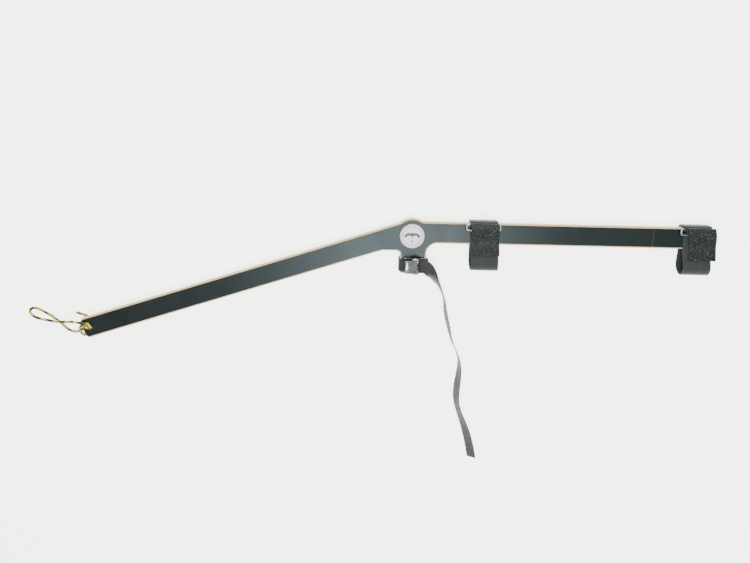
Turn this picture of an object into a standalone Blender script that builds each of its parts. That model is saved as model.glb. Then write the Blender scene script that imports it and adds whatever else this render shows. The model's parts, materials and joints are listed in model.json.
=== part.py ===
"""Tow-line guide bar for a bicycle: a bent plywood arm with a round hub, a webbing strap with a cam
buckle on its foot, two hook-and-loop cinch straps on the rear arm and a braided cord loop at the tip.

The bar lies on its back. +Z is the front of the bar, +X runs along the rear arm, away from the tip.
Every plan position below is given from the hub's centre, and the whole bar is moved at the end, so
that the origin is the middle of its footprint on the surface that it lies on.
"""

from math import acos, asin, atan2, cos, hypot, pi, radians, sin, sqrt, tan

import bmesh
import bpy
from mathutils import Matrix, Vector

# ---- driving dimensions, metres ------------------------------------------------------------------
GAP = 0.0003  # clearance between pieces that touch

ARM_WIDTH = 0.035
REAR_LENGTH = 0.484  # hub centre to the rear end
FRONT_LENGTH = 0.566  # crossing of the two arms' axes to the tip
BEND_ANGLE = radians(18.2)
AXIS_RISE = 0.006  # the rear arm's axis above the hub's centre
BEND_SETBACK = 0.0097  # crossing of the axes, towards the tip from the hub's centre
CORE_THICKNESS = 0.014
FILM_THICKNESS = 0.0004
FILM_GAP = 0.0001
EDGE_ROUND = 0.0025  # round-over that bares the wood along every edge
END_CORNER_RADIUS = 0.008
STAND_HEIGHT = 0.0096  # underside of the bar above the surface

HUB_BULGE = 0.0023  # hub's rim above the front arm's upper edge
HUB_BLEND_REAR = 0.015
HUB_BLEND_FRONT = 0.030
FOOT_WIDTH = 0.0429
FOOT_OFFSET = 0.00255  # foot's middle, towards the rear from the hub's centre
FOOT_LENGTH = 0.0625  # hub centre to the foot's lower edge
FOOT_CORNER_RADIUS = 0.004
SHELF_DROP = 0.0135  # short level edge in front of the foot, below the rear arm's lower edge
SHELF_BLEND = 0.040
FOOT_FRONT_FILLET = 0.006
FOOT_REAR_FILLET = 0.018

BADGE_DIAMETER = 0.040
BADGE_THICKNESS = 0.0006

TIP_HOLE_DIAMETER = 0.010
TIP_HOLE_SETBACK = 0.013  # from the arm's end
CORD_DIAMETER = 0.0046
KNOT_DIAMETER = 0.019

CINCH_WIDTH = 0.045
CINCH_THICKNESS = 0.0018
FRONT_CINCH_X = 0.1161
REAR_CINCH_X = 0.464
LOBE_DEPTH = 0.033  # height of the loop that hangs below the arm
LOBE_REACH = 0.0445  # the loop's end, below the arm's lower edge
FLAP_LENGTH = 0.030  # end of the flap, below the hub's centre
RING_WIRE = 0.0036
RING_LENGTH = 0.058
RING_WIDTH = 0.0132
RING_CORNER = 0.0052
RING_INSET = 0.0013  # the ring's upper bar, inside the arm's upper edge
TAB_LENGTH = 0.0155  # sewn end of the strap, from the arm's upper edge inwards, on the back

WEBBING_WIDTH = 0.020
WEBBING_THICKNESS = 0.0015
BUCKLE_CENTRE = (0.0035, -0.0476)
BUCKLE_LENGTH = 0.0324
BUCKLE_WIDTH = 0.0253
BUCKLE_SHEET = 0.0016
CHEEK_LENGTH = 0.022
CHEEK_RISE = 0.0045  # cheek's rim above the pin's axis
CHEEK_FOOT_DROP = 0.006  # where the cheek's slopes start, below the pin's axis
SLOT_WIDTH = 0.0046
SLOT_BAR = 0.003
PIN_DIAMETER = 0.004
PIN_HEAD_DIAMETER = 0.0066
PIN_HEAD_HEIGHT = 0.0012
PIN_OFFSET = 0.002  # pin, towards the rear from the buckle's middle
CAM_RADIUS = 0.0062
CAM_RELIEF = 0.0016  # how much smaller the cam is where it swings to when the lever is pressed
LEVER_REACH = 0.0165  # thumb tab's edge, in front of the pin
LEVER_RISE = 0.0095  # thumb tab above the pin
LEVER_SHEET = 0.0018
LEVER_PLAY = 0.0005  # lever to cheek, on each side
SPRING_NOTCH = 0.0085
SPRING_WIRE = 0.0009
SPRING_TURNS = 4
STRAP_SAG_SIDE = 0.0006  # slack of the webbing loop at the foot's sides

# Routes of the two free pieces, chosen by hand. The cord's points are from the tip hole's centre, the
# webbing's from the hub's centre. Heights are from the surface.
CORD_LOOP_ROUTE = [
    (-2.5, -0.2, 22.6), (-2.6, 0.1, 26.0), (-2.8, 0.9, 29.6), (-3.6, 3.0, 32.2), (-5.4, 6.0, 33.0),
    (-8.6, 8.4, 32.9), (-13.0, 9.2, 31.6), (-18.5, 8.8, 28.6), (-25.0, 7.9, 23.8), (-32.0, 6.6, 18.0),
    (-41.0, 4.6, 12.6), (-50.0, 3.4, 9.2), (-58.5, 3.0, 7.7), (-66.5, 2.6, 5.8), (-76.0, 3.6, 3.2),
    (-88.0, 5.2, 2.5), (-98.5, 8.4, 2.5), (-105.4, 13.2, 2.5), (-107.4, 19.2, 2.5), (-104.0, 24.2, 2.5),
    (-97.0, 24.8, 2.5), (-87.5, 21.0, 2.5), (-76.0, 14.5, 2.5), (-66.5, 7.8, 2.5), (-58.8, 1.8, 2.5),
    (-51.2, -6.0, 2.5), (-42.0, -12.8, 2.8), (-31.0, -15.0, 4.0), (-21.0, -10.8, 4.7), (-13.6, -4.9, 4.7),
    (-9.9, -2.9, 4.7),
]
CORD_WRAP_ROUTE = [
    (2.4, 0.1, 22.6), (2.4, 0.6, 25.8), (1.7, 2.9, 28.1), (-0.8, 6.0, 27.9), (-4.8, 7.0, 27.6),
    (-9.2, 5.6, 27.4), (-13.0, 2.0, 27.2), (-15.4, -2.2, 25.2), (-16.8, -6.6, 21.4), (-17.6, -11.4, 16.6),
    (-17.2, -16.4, 11.4), (-14.6, -19.4, 7.2), (-10.8, -16.4, 4.8), (-7.6, -11.4, 4.7), (-5.7, -8.4, 4.7),
]
CORD_TAIL_ROUTE = [(-5.4, 9.1, 4.7), (-9.0, 12.6, 4.7), (-15.0, 15.4, 4.6), (-22.0, 17.6, 4.2), (-29.0, 19.2, 3.6)]
# x, y, height of the middle, and the tilt of the webbing from flat in degrees
WEBBING_TAIL_ROUTE = [
    (7.9, -47.6, 29.4, 0), (10.5, -47.6, 29.6, 0), (13.2, -47.6, 30.6, 0), (16.5, -47.6, 31.35, 0),
    (21.0, -48.0, 31.4, 0), (25.4, -50.4, 31.4, 1), (29.2, -55.0, 31.3, 2), (32.6, -60.8, 29.0, 18),
    (36.2, -67.0, 24.6, 40), (40.6, -74.2, 18.6, 60), (45.4, -81.4, 14.4, 71), (50.4, -89.8, 11.4, 81),
    (55.0, -100.0, 10.4, 87),
    (58.8, -112.0, 10.3, 86), (60.4, -126.0, 10.2, 80), (63.4, -141.0, 10.2, 77), (67.2, -156.0, 10.2, 78),
    (71.2, -172.0, 10.2, 83), (76.0, -186.0, 10.3, 86), (82.4, -199.0, 10.3, 88), (87.6, -214.0, 10.3, 86),
    (89.6, -229.0, 10.1, 78), (88.9, -245.0, 9.9, 70), (87.4, -261.0, 9.6, 65), (86.6, -277.0, 9.5, 65),
    (87.6, -293.0, 9.6, 66), (91.8, -308.0, 9.6, 66), (97.6, -323.0, 9.3, 61), (103.4, -338.0, 8.8, 55),
    (108.4, -353.0, 8.4, 51), (113.2, -370.0, 8.1, 48), (116.8, -386.0, 8.0, 47), (119.6, -399.0, 7.9, 46),
]

# ---- sizes that follow from them -----------------------------------------------------------------
HALF_ARM = ARM_WIDTH / 2
REAR_TOP_Y = AXIS_RISE + HALF_ARM
REAR_LOW_Y = AXIS_RISE - HALF_ARM
AXIS_DISTANCE = AXIS_RISE * cos(BEND_ANGLE) + BEND_SETBACK * sin(BEND_ANGLE)
FRONT_EDGE_DISTANCE = AXIS_DISTANCE + HALF_ARM
HUB_RADIUS = FRONT_EDGE_DISTANCE + HUB_BULGE
FRONT_HEADING = pi + BEND_ANGLE
AXES_CROSSING = Vector((-BEND_SETBACK, AXIS_RISE))
FRONT_DIRECTION = Vector((cos(FRONT_HEADING), sin(FRONT_HEADING)))
TIP_END = AXES_CROSSING + FRONT_DIRECTION * FRONT_LENGTH
TIP_HOLE = AXES_CROSSING + FRONT_DIRECTION * (FRONT_LENGTH - TIP_HOLE_SETBACK)

BACK_FILM_BOTTOM = STAND_HEIGHT
CORE_BOTTOM = BACK_FILM_BOTTOM + FILM_THICKNESS + FILM_GAP
CORE_TOP = CORE_BOTTOM + CORE_THICKNESS
FACE_BOTTOM = CORE_TOP + FILM_GAP
FACE_TOP = FACE_BOTTOM + FILM_THICKNESS

ARC_STEPS = 8  # points on a quarter of an outline's arc


# ---- materials -----------------------------------------------------------------------------------
def material(name, colour, roughness, metallic=0.0):
    made = bpy.data.materials.new(name)
    made.use_nodes = True
    shader = made.node_tree.nodes["Principled BSDF"]
    shader.inputs["Base Color"].default_value = (*colour, 1.0)
    shader.inputs["Roughness"].default_value = roughness
    shader.inputs["Metallic"].default_value = metallic
    made.diffuse_color = (*colour, 1.0)
    return made


# ---- building helpers ----------------------------------------------------------------------------
def add_object(name, mesh_or_curve, finish, pivot=Vector((0, 0, 0)), parent=None):
    """Links an object whose data is in hub coordinates, with its own origin at the pivot."""
    made = bpy.data.objects.new(name, mesh_or_curve)
    mesh_or_curve.materials.append(finish)
    mesh_or_curve.transform(Matrix.Translation(-pivot))
    bpy.context.scene.collection.objects.link(made)
    made.location = pivot
    if parent is not None:
        made.parent = parent
        made.location = pivot - parent.location
    return made


def mesh_from(name, build):
    """Makes a mesh from a bmesh-filling function, with its faces pointing out."""
    shape = bmesh.new()
    build(shape)
    bmesh.ops.recalc_face_normals(shape, faces=shape.faces)
    made = bpy.data.meshes.new(name)
    shape.to_mesh(made)
    shape.free()
    made.shade_smooth()
    made.set_sharp_from_angle(angle=radians(35))
    return made


def loft(shape, loops):
    """Joins closed loops of equal length with side faces and caps the first and the last."""
    rings = [[shape.verts.new(point) for point in loop] for loop in loops]
    count = len(rings[0])
    for lower, upper in zip(rings, rings[1:]):
        for i in range(count):
            j = (i + 1) % count
            shape.faces.new((lower[i], lower[j], upper[j], upper[i]))
    shape.faces.new(list(reversed(rings[0])))
    shape.faces.new(rings[-1])


def cut(target, cutter):
    """Subtracts the cutter, which stays in the scene as a hidden guide."""
    cutter.hide_render = True
    cutter.display_type = "WIRE"
    modifier = target.modifiers.new("cut_" + cutter.name, "BOOLEAN")
    modifier.operation = "DIFFERENCE"
    modifier.solver = "EXACT"
    modifier.object = cutter


def circle_points(centre, radius, steps):
    return [
        (centre[0] + radius * cos(2 * pi * i / steps), centre[1] + radius * sin(2 * pi * i / steps))
        for i in range(steps)
    ]


def cylinder_z(shape, centre, radius, low, high, steps=32):
    ring = circle_points(centre, radius, steps)
    loft(shape, [[(x, y, z) for x, y in ring] for z in (low, high)])


def arc(centre, radius, start, sweep, steps):
    """Points of an arc, its two ends included."""
    return [
        Vector((centre[0] + radius * cos(start + sweep * i / steps), centre[1] + radius * sin(start + sweep * i / steps)))
        for i in range(steps + 1)
    ]


def rounded_path(corners, step=radians(15)):
    """An open path through (x, y, radius) corners, each rounded with its radius."""
    points = [Vector(corners[0][:2])]
    for before, corner, after in zip(corners, corners[1:], corners[2:]):
        here = Vector(corner[:2])
        inward = (here - Vector(before[:2])).normalized()
        outward = (Vector(after[:2]) - here).normalized()
        turn = inward.angle_signed(outward) * -1
        side = 1 if turn > 0 else -1
        start = here - inward * corner[2] * tan(abs(turn) / 2)
        centre = start + Vector((-inward.y, inward.x)) * corner[2] * side
        first = atan2(start.y - centre.y, start.x - centre.x)
        points += arc(centre, corner[2], first, turn, max(2, round(abs(turn) / step)))
    return points + [Vector(corners[-1][:2])]


def eased(start, end, steps=8):
    """Points from start to end that leave and arrive level, both ends included."""
    points = []
    for i in range(steps + 1):
        share = i / steps
        rise = share * share * (3 - 2 * share)
        points.append(Vector((start[0] + (end[0] - start[0]) * share, start[1] + (end[1] - start[1]) * rise)))
    return points


def without_repeats(points, closest=0.00005):
    kept = [points[0]]
    for point in points[1:]:
        if (point - kept[-1]).length > closest:
            kept.append(point)
    return kept


def tangents(points):
    ahead = points[1:] + points[-1:]
    behind = points[:1] + points[:-1]
    return [(b - a).normalized() for a, b in zip(behind, ahead)]


def swept_strip(shape, centres, across, normals, width, thickness):
    """A flat strip: at each centre a rectangle, width along across and thickness along the normal."""
    loops = []
    for centre, side, normal in zip(centres, across, normals):
        half_side = side * width / 2
        half_normal = normal * thickness / 2
        loops.append(
            [
                centre - half_side - half_normal,
                centre + half_side - half_normal,
                centre + half_side + half_normal,
                centre - half_side + half_normal,
            ]
        )
    loft(shape, loops)


def smooth_route(points, spacing):
    """Evenly spaced points along a Catmull-Rom curve through the route's points."""
    padded = [points[0] * 2 - points[1]] + points + [points[-1] * 2 - points[-2]]
    fine = []
    for a, b, c, d in zip(padded, padded[1:], padded[2:], padded[3:]):
        for i in range(20):
            t = i / 20
            fine.append((b * 2 + (c - a) * t + (a * 2 - b * 5 + c * 4 - d) * t**2 + (b * 3 - a - c * 3 + d) * t**3) / 2)
    fine.append(points[-1].copy())
    lengths = [0.0]
    for a, b in zip(fine, fine[1:]):
        lengths.append(lengths[-1] + (b - a).length)
    count = max(2, round(lengths[-1] / spacing))
    even = []
    index = 0
    for i in range(count + 1):
        wanted = lengths[-1] * i / count
        while index < len(lengths) - 2 and lengths[index + 1] < wanted:
            index += 1
        share = (wanted - lengths[index]) / (lengths[index + 1] - lengths[index])
        even.append(fine[index].lerp(fine[index + 1], share))
    return even


def cord_tube(name, points, finish):
    """A capped round tube through the points."""
    curve = bpy.data.curves.new(name, "CURVE")
    curve.dimensions = "3D"
    curve.bevel_depth = CORD_DIAMETER / 2
    curve.bevel_resolution = 2
    curve.use_fill_caps = True
    spline = curve.splines.new("POLY")
    spline.points.add(len(points) - 1)
    for spline_point, point in zip(spline.points, points):
        spline_point.co = (*point, 1.0)
    return add_object(name, curve, finish)


def millimetres(point):
    return Vector(point) / 1000


# ---- the arm -------------------------------------------------------------------------------------
def edge_line(point, heading, inset):
    """An outline edge moved inwards. The outline runs anticlockwise, so inwards is to its left."""
    return Vector(point) + Vector((-sin(heading), cos(heading))) * inset, heading


def corner_arc(first, second, radius, inset):
    """Arc that joins two edges: a left turn is a convex corner and loses the inset, a right turn gains it."""
    turn = (second[1] - first[1] + pi) % (2 * pi) - pi
    size = radius - inset if turn > 0 else radius + inset
    direction = Vector((cos(first[1]), sin(first[1])))
    other = Vector((cos(second[1]), sin(second[1])))
    along = (second[0] - first[0]).cross(other) / direction.cross(other)
    start = first[0] + direction * (along - size * tan(abs(turn) / 2))
    side = 1 if turn > 0 else -1
    centre = start + Vector((-direction.y, direction.x)) * size * side
    return arc(centre, size, first[1] - side * pi / 2, turn, ARC_STEPS)


def crown(inset):
    """Hub's rim with its two hollow blends, from the rear arm's upper edge to the front arm's."""
    rim = HUB_RADIUS - inset
    rear_reach = sqrt((HUB_RADIUS + HUB_BLEND_REAR) ** 2 - (REAR_TOP_Y + HUB_BLEND_REAR) ** 2)
    rear_centre = Vector((rear_reach, REAR_TOP_Y + HUB_BLEND_REAR))
    outward = Vector((-sin(BEND_ANGLE), cos(BEND_ANGLE)))
    front_reach = sqrt((HUB_RADIUS + HUB_BLEND_FRONT) ** 2 - (FRONT_EDGE_DISTANCE + HUB_BLEND_FRONT) ** 2)
    front_centre = outward * (FRONT_EDGE_DISTANCE + HUB_BLEND_FRONT) + FRONT_DIRECTION * front_reach
    rear_angle = atan2(rear_centre.y, rear_centre.x)
    front_angle = atan2(front_centre.y, front_centre.x)
    rear_blend = arc(rear_centre, HUB_BLEND_REAR + inset, 1.5 * pi, rear_angle - pi / 2, ARC_STEPS)
    top = arc((0, 0), rim, rear_angle, front_angle - rear_angle, 2 * ARC_STEPS)
    leave = pi / 2 + BEND_ANGLE - front_angle
    front_blend = arc(front_centre, HUB_BLEND_FRONT + inset, front_angle + pi, leave, ARC_STEPS)
    return rear_blend + top[1:-1] + front_blend


def arm_outline(inset):
    """Anticlockwise outline of the bar, moved inwards by inset, always with the same number of points."""
    shelf_y = REAR_LOW_Y - SHELF_DROP
    outward = Vector((-sin(BEND_ANGLE), cos(BEND_ANGLE)))
    rear_low = edge_line((0, REAR_LOW_Y), 0, inset)
    rear_end = edge_line((REAR_LENGTH, 0), pi / 2, inset)
    rear_top = edge_line((0, REAR_TOP_Y), pi, inset)
    front_top = edge_line(AXES_CROSSING + outward * HALF_ARM, FRONT_HEADING, inset)
    tip_end = edge_line(TIP_END, FRONT_HEADING + pi / 2, inset)
    front_low = edge_line(AXES_CROSSING - outward * HALF_ARM, BEND_ANGLE, inset)
    shelf = edge_line((0, shelf_y), 0, inset)
    foot_front = edge_line((FOOT_OFFSET - FOOT_WIDTH / 2, 0), -pi / 2, inset)
    foot_low = edge_line((0, -FOOT_LENGTH), 0, inset)
    foot_rear = edge_line((FOOT_OFFSET + FOOT_WIDTH / 2, 0), pi / 2, inset)
    return (
        corner_arc(rear_low, rear_end, END_CORNER_RADIUS, inset)
        + corner_arc(rear_end, rear_top, END_CORNER_RADIUS, inset)
        + crown(inset)
        + corner_arc(front_top, tip_end, END_CORNER_RADIUS, inset)
        + corner_arc(tip_end, front_low, END_CORNER_RADIUS, inset)
        + corner_arc(front_low, shelf, SHELF_BLEND, inset)
        + corner_arc(shelf, foot_front, FOOT_FRONT_FILLET, inset)
        + corner_arc(foot_front, foot_low, FOOT_CORNER_RADIUS, inset)
        + corner_arc(foot_low, foot_rear, FOOT_CORNER_RADIUS, inset)
        + corner_arc(foot_rear, rear_low, FOOT_REAR_FILLET, inset)
    )


def at_height(outline, z):
    return [(x, y, z) for x, y in outline]


def make_core(finish):
    """Plywood with its edges rounded over."""
    steps = 3

    def build(shape):
        rounding = [radians(90) * i / steps for i in range(steps + 1)]
        loops = []
        for angle in rounding:
            outline = arm_outline(EDGE_ROUND * (1 - sin(angle)))
            loops.append(at_height(outline, CORE_BOTTOM + EDGE_ROUND * (1 - cos(angle))))
        for angle in reversed(rounding):
            outline = arm_outline(EDGE_ROUND * (1 - sin(angle)))
            loops.append(at_height(outline, CORE_TOP - EDGE_ROUND * (1 - cos(angle))))
        loft(shape, loops)

    return add_object("plywood_core", mesh_from("plywood_core", build), finish)


def make_film(name, low, finish):
    def build(shape):
        outline = arm_outline(EDGE_ROUND)
        loft(shape, [at_height(outline, z) for z in (low, low + FILM_THICKNESS)])

    return add_object(name, mesh_from(name, build), finish)


def make_tip_hole_cutter(finish):
    def build(shape):
        cylinder_z(shape, TIP_HOLE, TIP_HOLE_DIAMETER / 2, 0, FACE_TOP + STAND_HEIGHT)

    return add_object("tip_hole_cutter", mesh_from("tip_hole_cutter", build), finish)


def make_badge(finish):
    low = FACE_TOP + FILM_GAP

    def build(shape):
        cylinder_z(shape, (0, 0), BADGE_DIAMETER / 2, low, low + BADGE_THICKNESS, steps=48)

    return add_object("badge_disc", mesh_from("badge_disc", build), finish)


# ---- the cinch straps ----------------------------------------------------------------------------
# Each path is worked out in the plane across the arm: y, then the height.
PITCH = CINCH_THICKNESS + GAP  # one layer to the next
UNDER_LAYER = BACK_FILM_BOTTOM - GAP - CINCH_THICKNESS / 2
OVER_LAYER = FACE_TOP + GAP + CINCH_THICKNESS / 2
RING_UPPER_Y = REAR_TOP_Y - RING_INSET
RING_LOWER_Y = RING_UPPER_Y - (RING_WIDTH - RING_WIRE)
RING_HEIGHT = OVER_LAYER + CINCH_THICKNESS / 2 + GAP + RING_WIRE / 2
WRAP_RADIUS = RING_WIRE / 2 + GAP + CINCH_THICKNESS / 2
LOBE_RADIUS = (LOBE_DEPTH - CINCH_THICKNESS) / 2
LOBE_Y = REAR_LOW_Y - LOBE_REACH + LOBE_RADIUS + CINCH_THICKNESS / 2
LOBE_LOW = CINCH_THICKNESS / 2
LOBE_HIGH = LOBE_LOW + 2 * LOBE_RADIUS
LEAVE_Y = REAR_LOW_Y + 0.0015  # where the strap leaves the arm's faces


def band_path():
    """From the sewn end behind the arm, round the hanging loop and over the front, up through the ring."""
    start = (REAR_TOP_Y - TAB_LENGTH - GAP, UNDER_LAYER)
    points = [Vector(start)]
    points += eased((LEAVE_Y, UNDER_LAYER), (LOBE_Y, LOBE_LOW))
    points += arc((LOBE_Y, LOBE_LOW + LOBE_RADIUS), LOBE_RADIUS, 1.5 * pi, -pi, 16)
    points += eased((LOBE_Y, LOBE_HIGH), (LEAVE_Y, OVER_LAYER))
    points += arc((RING_LOWER_Y, RING_HEIGHT), WRAP_RADIUS, 1.5 * pi, pi / 2, 5)
    return without_repeats(points)


def flap_path():
    """From inside the ring, in a stiff fold over the ring's upper bar, and down over the band."""
    rise_y = RING_LOWER_Y + WRAP_RADIUS
    tab_top = RING_HEIGHT + RING_WIRE / 2 + GAP + CINCH_THICKNESS
    lower_leg = tab_top + GAP + CINCH_THICKNESS / 2
    fold = 0.0016
    upper_leg = lower_leg + 2 * fold
    turn = 0.0022
    fold_y = REAR_TOP_Y - 0.0010
    rest = OVER_LAYER + PITCH
    points = [Vector((rise_y, RING_HEIGHT + GAP))]
    points += arc((rise_y + turn, lower_leg - turn), turn, pi, -pi / 2, 4)
    points += arc((fold_y, lower_leg + fold), fold, -pi / 2, pi, 6)
    points += eased((fold_y - 0.002, upper_leg), (LEAVE_Y + 0.001, rest))
    laid = eased((LOBE_Y, LOBE_HIGH), (LEAVE_Y, OVER_LAYER), steps=16)
    laid.reverse()
    directions = tangents(laid)
    for point, direction in zip(laid, directions):
        if point.x > -FLAP_LENGTH:
            points.append(point + Vector((direction.y, -direction.x)) * PITCH)
    return without_repeats(points)


def tab_path():
    """Sewn end: from behind the arm round its upper edge, round the ring's upper bar and back on itself."""
    inner_y = REAR_TOP_Y + GAP + CINCH_THICKNESS / 2
    outer_y = inner_y + PITCH
    end_y = REAR_TOP_Y - TAB_LENGTH
    edge = EDGE_ROUND + GAP + CINCH_THICKNESS / 2
    tight = inner_y - RING_UPPER_Y - GAP / 3
    bar_top = RING_HEIGHT + WRAP_RADIUS
    outer = rounded_path(
        [
            (end_y, UNDER_LAYER - PITCH, 0),
            (outer_y, UNDER_LAYER - PITCH, edge + PITCH),
            (outer_y, bar_top, tight + PITCH),
            (RING_UPPER_Y, bar_top, 0),
        ]
    )
    round_bar = arc((RING_UPPER_Y, RING_HEIGHT), WRAP_RADIUS, pi / 2, pi, 10)
    inner = rounded_path(
        [
            (RING_UPPER_Y, OVER_LAYER, 0),
            (inner_y, OVER_LAYER, tight),
            (inner_y, UNDER_LAYER, edge),
            (end_y, UNDER_LAYER, 0),
        ]
    )
    return without_repeats(outer + round_bar[1:-1] + inner)


def strap_strip(name, path, middle_x, lean, shift, finish, carrier):
    """A cinch strap piece: the path across the arm, as wide as the strap. It leans along the arm by lean
    for each metre below the ring, and shifts by up to shift from the path's start to its end."""
    total = sum((b - a).length for a, b in zip(path, path[1:]))
    centres = []
    done = 0.0
    for i, point in enumerate(path):
        if i:
            done += (point - path[i - 1]).length
        x = middle_x + lean * (RING_UPPER_Y - point.x) + shift * done / total
        centres.append(Vector((x, point.x, point.y)))
    normals = [Vector((0, -t.y, t.x)) for t in tangents(path)]
    across = [Vector((1, 0, 0))] * len(path)

    def build(shape):
        swept_strip(shape, centres, across, normals, CINCH_WIDTH, CINCH_THICKNESS)

    return add_object(name, mesh_from(name, build), finish, carrier.location, carrier)


def make_ring(name, middle_x, finish, carrier):
    """Rectangular ring of round wire, lying over the arm's upper edge."""
    half_length = (RING_LENGTH - RING_WIRE) / 2
    middle_y = (RING_UPPER_Y + RING_LOWER_Y) / 2
    half_width = (RING_WIDTH - RING_WIRE) / 2
    corner = RING_CORNER - RING_WIRE / 2
    centres = []
    for quarter, (sx, sy) in enumerate(((1, 1), (-1, 1), (-1, -1), (1, -1))):
        middle = (middle_x + sx * (half_length - corner), middle_y + sy * (half_width - corner))
        centres += arc(middle, corner, quarter * pi / 2, pi / 2, 4)
    sides = 10

    def build(shape):
        count = len(centres)
        rings = []
        for i, centre in enumerate(centres):
            along = (centres[(i + 1) % count] - centres[i - 1]).normalized()
            outward = Vector((along.y, -along.x, 0))
            ring = []
            for k in range(sides):
                angle = 2 * pi * k / sides
                offset = (outward * cos(angle) + Vector((0, 0, 1)) * sin(angle)) * RING_WIRE / 2
                ring.append(shape.verts.new(Vector((centre.x, centre.y, RING_HEIGHT)) + offset))
            rings.append(ring)
        for i, ring in enumerate(rings):
            following = rings[(i + 1) % count]
            for k in range(sides):
                j = (k + 1) % sides
                shape.faces.new((ring[k], following[k], following[j], ring[j]))

    return add_object(name, mesh_from(name, build), finish, carrier.location, carrier)


def make_cinch(prefix, middle_x, ring_shift, lean, flap_shift, finishes, parent):
    """One cinch strap. Its pieces hang on an empty at the arm's axis, which slides along the arm."""
    carrier = bpy.data.objects.new(prefix + "_slide", None)
    bpy.context.scene.collection.objects.link(carrier)
    carrier.location = (middle_x, AXIS_RISE, (CORE_BOTTOM + CORE_TOP) / 2)
    strap_strip(prefix + "_band", band_path(), middle_x - flap_shift / 2, lean, 0, finishes["strap"], carrier)
    strap_strip(prefix + "_tab", tab_path(), middle_x - flap_shift / 2, 0, 0, finishes["strap"], carrier)
    flap_start = middle_x - flap_shift / 2
    strap_strip(prefix + "_flap", flap_path(), flap_start, lean, flap_shift, finishes["flap"], carrier)
    make_ring(prefix + "_ring", middle_x + ring_shift, finishes["ring"], carrier)
    carrier.parent = parent


# ---- the cam buckle and its webbing --------------------------------------------------------------
BASE_LOW = FACE_TOP + 2 * GAP + WEBBING_THICKNESS
BASE_HIGH = BASE_LOW + BUCKLE_SHEET
WEBBING_ON_BASE = BASE_HIGH + GAP + WEBBING_THICKNESS / 2
PIN_X = BUCKLE_CENTRE[0] + PIN_OFFSET
PIN_Y = BUCKLE_CENTRE[1]
PIN_Z = WEBBING_ON_BASE + WEBBING_THICKNESS / 2 + GAP + CAM_RADIUS
BAR_REAR_X = BUCKLE_CENTRE[0] + BUCKLE_LENGTH / 2
BAR_FRONT_X = BAR_REAR_X - SLOT_BAR
INNER_HALF = BUCKLE_WIDTH / 2 - BUCKLE_SHEET


def extrude_along_y(shape, outline, low_y, high_y):
    loft(shape, [[(x, y, z) for x, z in outline] for y in (low_y, high_y)])


def box(shape, low, high):
    loft(shape, [[(low[0], low[1], z), (high[0], low[1], z), (high[0], high[1], z), (low[0], high[1], z)] for z in (low[2], high[2])])


def make_buckle_frame(finish):
    """Pressed frame: a channel bent up at both sides, sloped off towards its ends, with a webbing slot."""
    half_length = BUCKLE_LENGTH / 2
    half_width = BUCKLE_WIDTH / 2
    rim = PIN_Z + CHEEK_RISE
    shoulder = PIN_Z - CHEEK_FOOT_DROP
    base_corner = 0.0022

    def build_channel(shape):
        section = rounded_path(
            [
                (-half_width + BUCKLE_SHEET / 2, rim, 0),
                (-half_width + BUCKLE_SHEET / 2, BASE_LOW + BUCKLE_SHEET / 2, base_corner),
                (half_width - BUCKLE_SHEET / 2, BASE_LOW + BUCKLE_SHEET / 2, base_corner),
                (half_width - BUCKLE_SHEET / 2, rim, 0),
            ]
        )
        normals = [Vector((-t.y, t.x)) for t in tangents(section)]
        outer = [p - n * BUCKLE_SHEET / 2 for p, n in zip(section, normals)]
        inner = [p + n * BUCKLE_SHEET / 2 for p, n in zip(section, normals)]
        ring = outer + inner[::-1]
        x_low = BUCKLE_CENTRE[0] - half_length
        x_high = BUCKLE_CENTRE[0] + half_length
        loft(shape, [[(x, BUCKLE_CENTRE[1] + p.x, p.y) for p in ring] for x in (x_low, x_high)])

    frame = add_object("buckle_frame", mesh_from("buckle_frame", build_channel), finish)

    def build_slot(shape):
        slot_high = BAR_FRONT_X
        half_slot = WEBBING_WIDTH / 2 + GAP
        box(
            shape,
            (slot_high - SLOT_WIDTH, BUCKLE_CENTRE[1] - half_slot, BASE_LOW - BUCKLE_SHEET),
            (slot_high, BUCKLE_CENTRE[1] + half_slot, BASE_HIGH + BUCKLE_SHEET),
        )

    cut(frame, add_object("slot_cutter", mesh_from("slot_cutter", build_slot), finish))

    reach = BUCKLE_LENGTH
    clear = BUCKLE_WIDTH
    for name, side in (("front_slope_cutter", -1), ("rear_slope_cutter", 1)):
        end_x = BUCKLE_CENTRE[0] + side * half_length
        top_x = PIN_X + side * CHEEK_RISE

        def build_slope(shape, end_x=end_x, top_x=top_x, side=side):
            low = BASE_HIGH + 0.0012
            knee = (top_x + side * 0.0035, shoulder)
            outline = [
                (end_x + side * reach, low),
                (end_x + side * reach, rim + BUCKLE_SHEET),
                (top_x, rim + BUCKLE_SHEET),
                (top_x, rim),
                knee,
                (end_x - side * 0.0025, low),
            ]
            extrude_along_y(shape, outline, BUCKLE_CENTRE[1] - clear, BUCKLE_CENTRE[1] + clear)

        cut(frame, add_object(name, mesh_from(name, build_slope), finish))

    def build_pin_holes(shape):
        circle = circle_points((PIN_X, PIN_Z), PIN_DIAMETER / 2 + GAP, 20)
        extrude_along_y(shape, circle, PIN_Y - clear, PIN_Y + clear)

    cut(frame, add_object("pin_hole_cutter", mesh_from("pin_hole_cutter", build_pin_holes), finish))
    return frame


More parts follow.
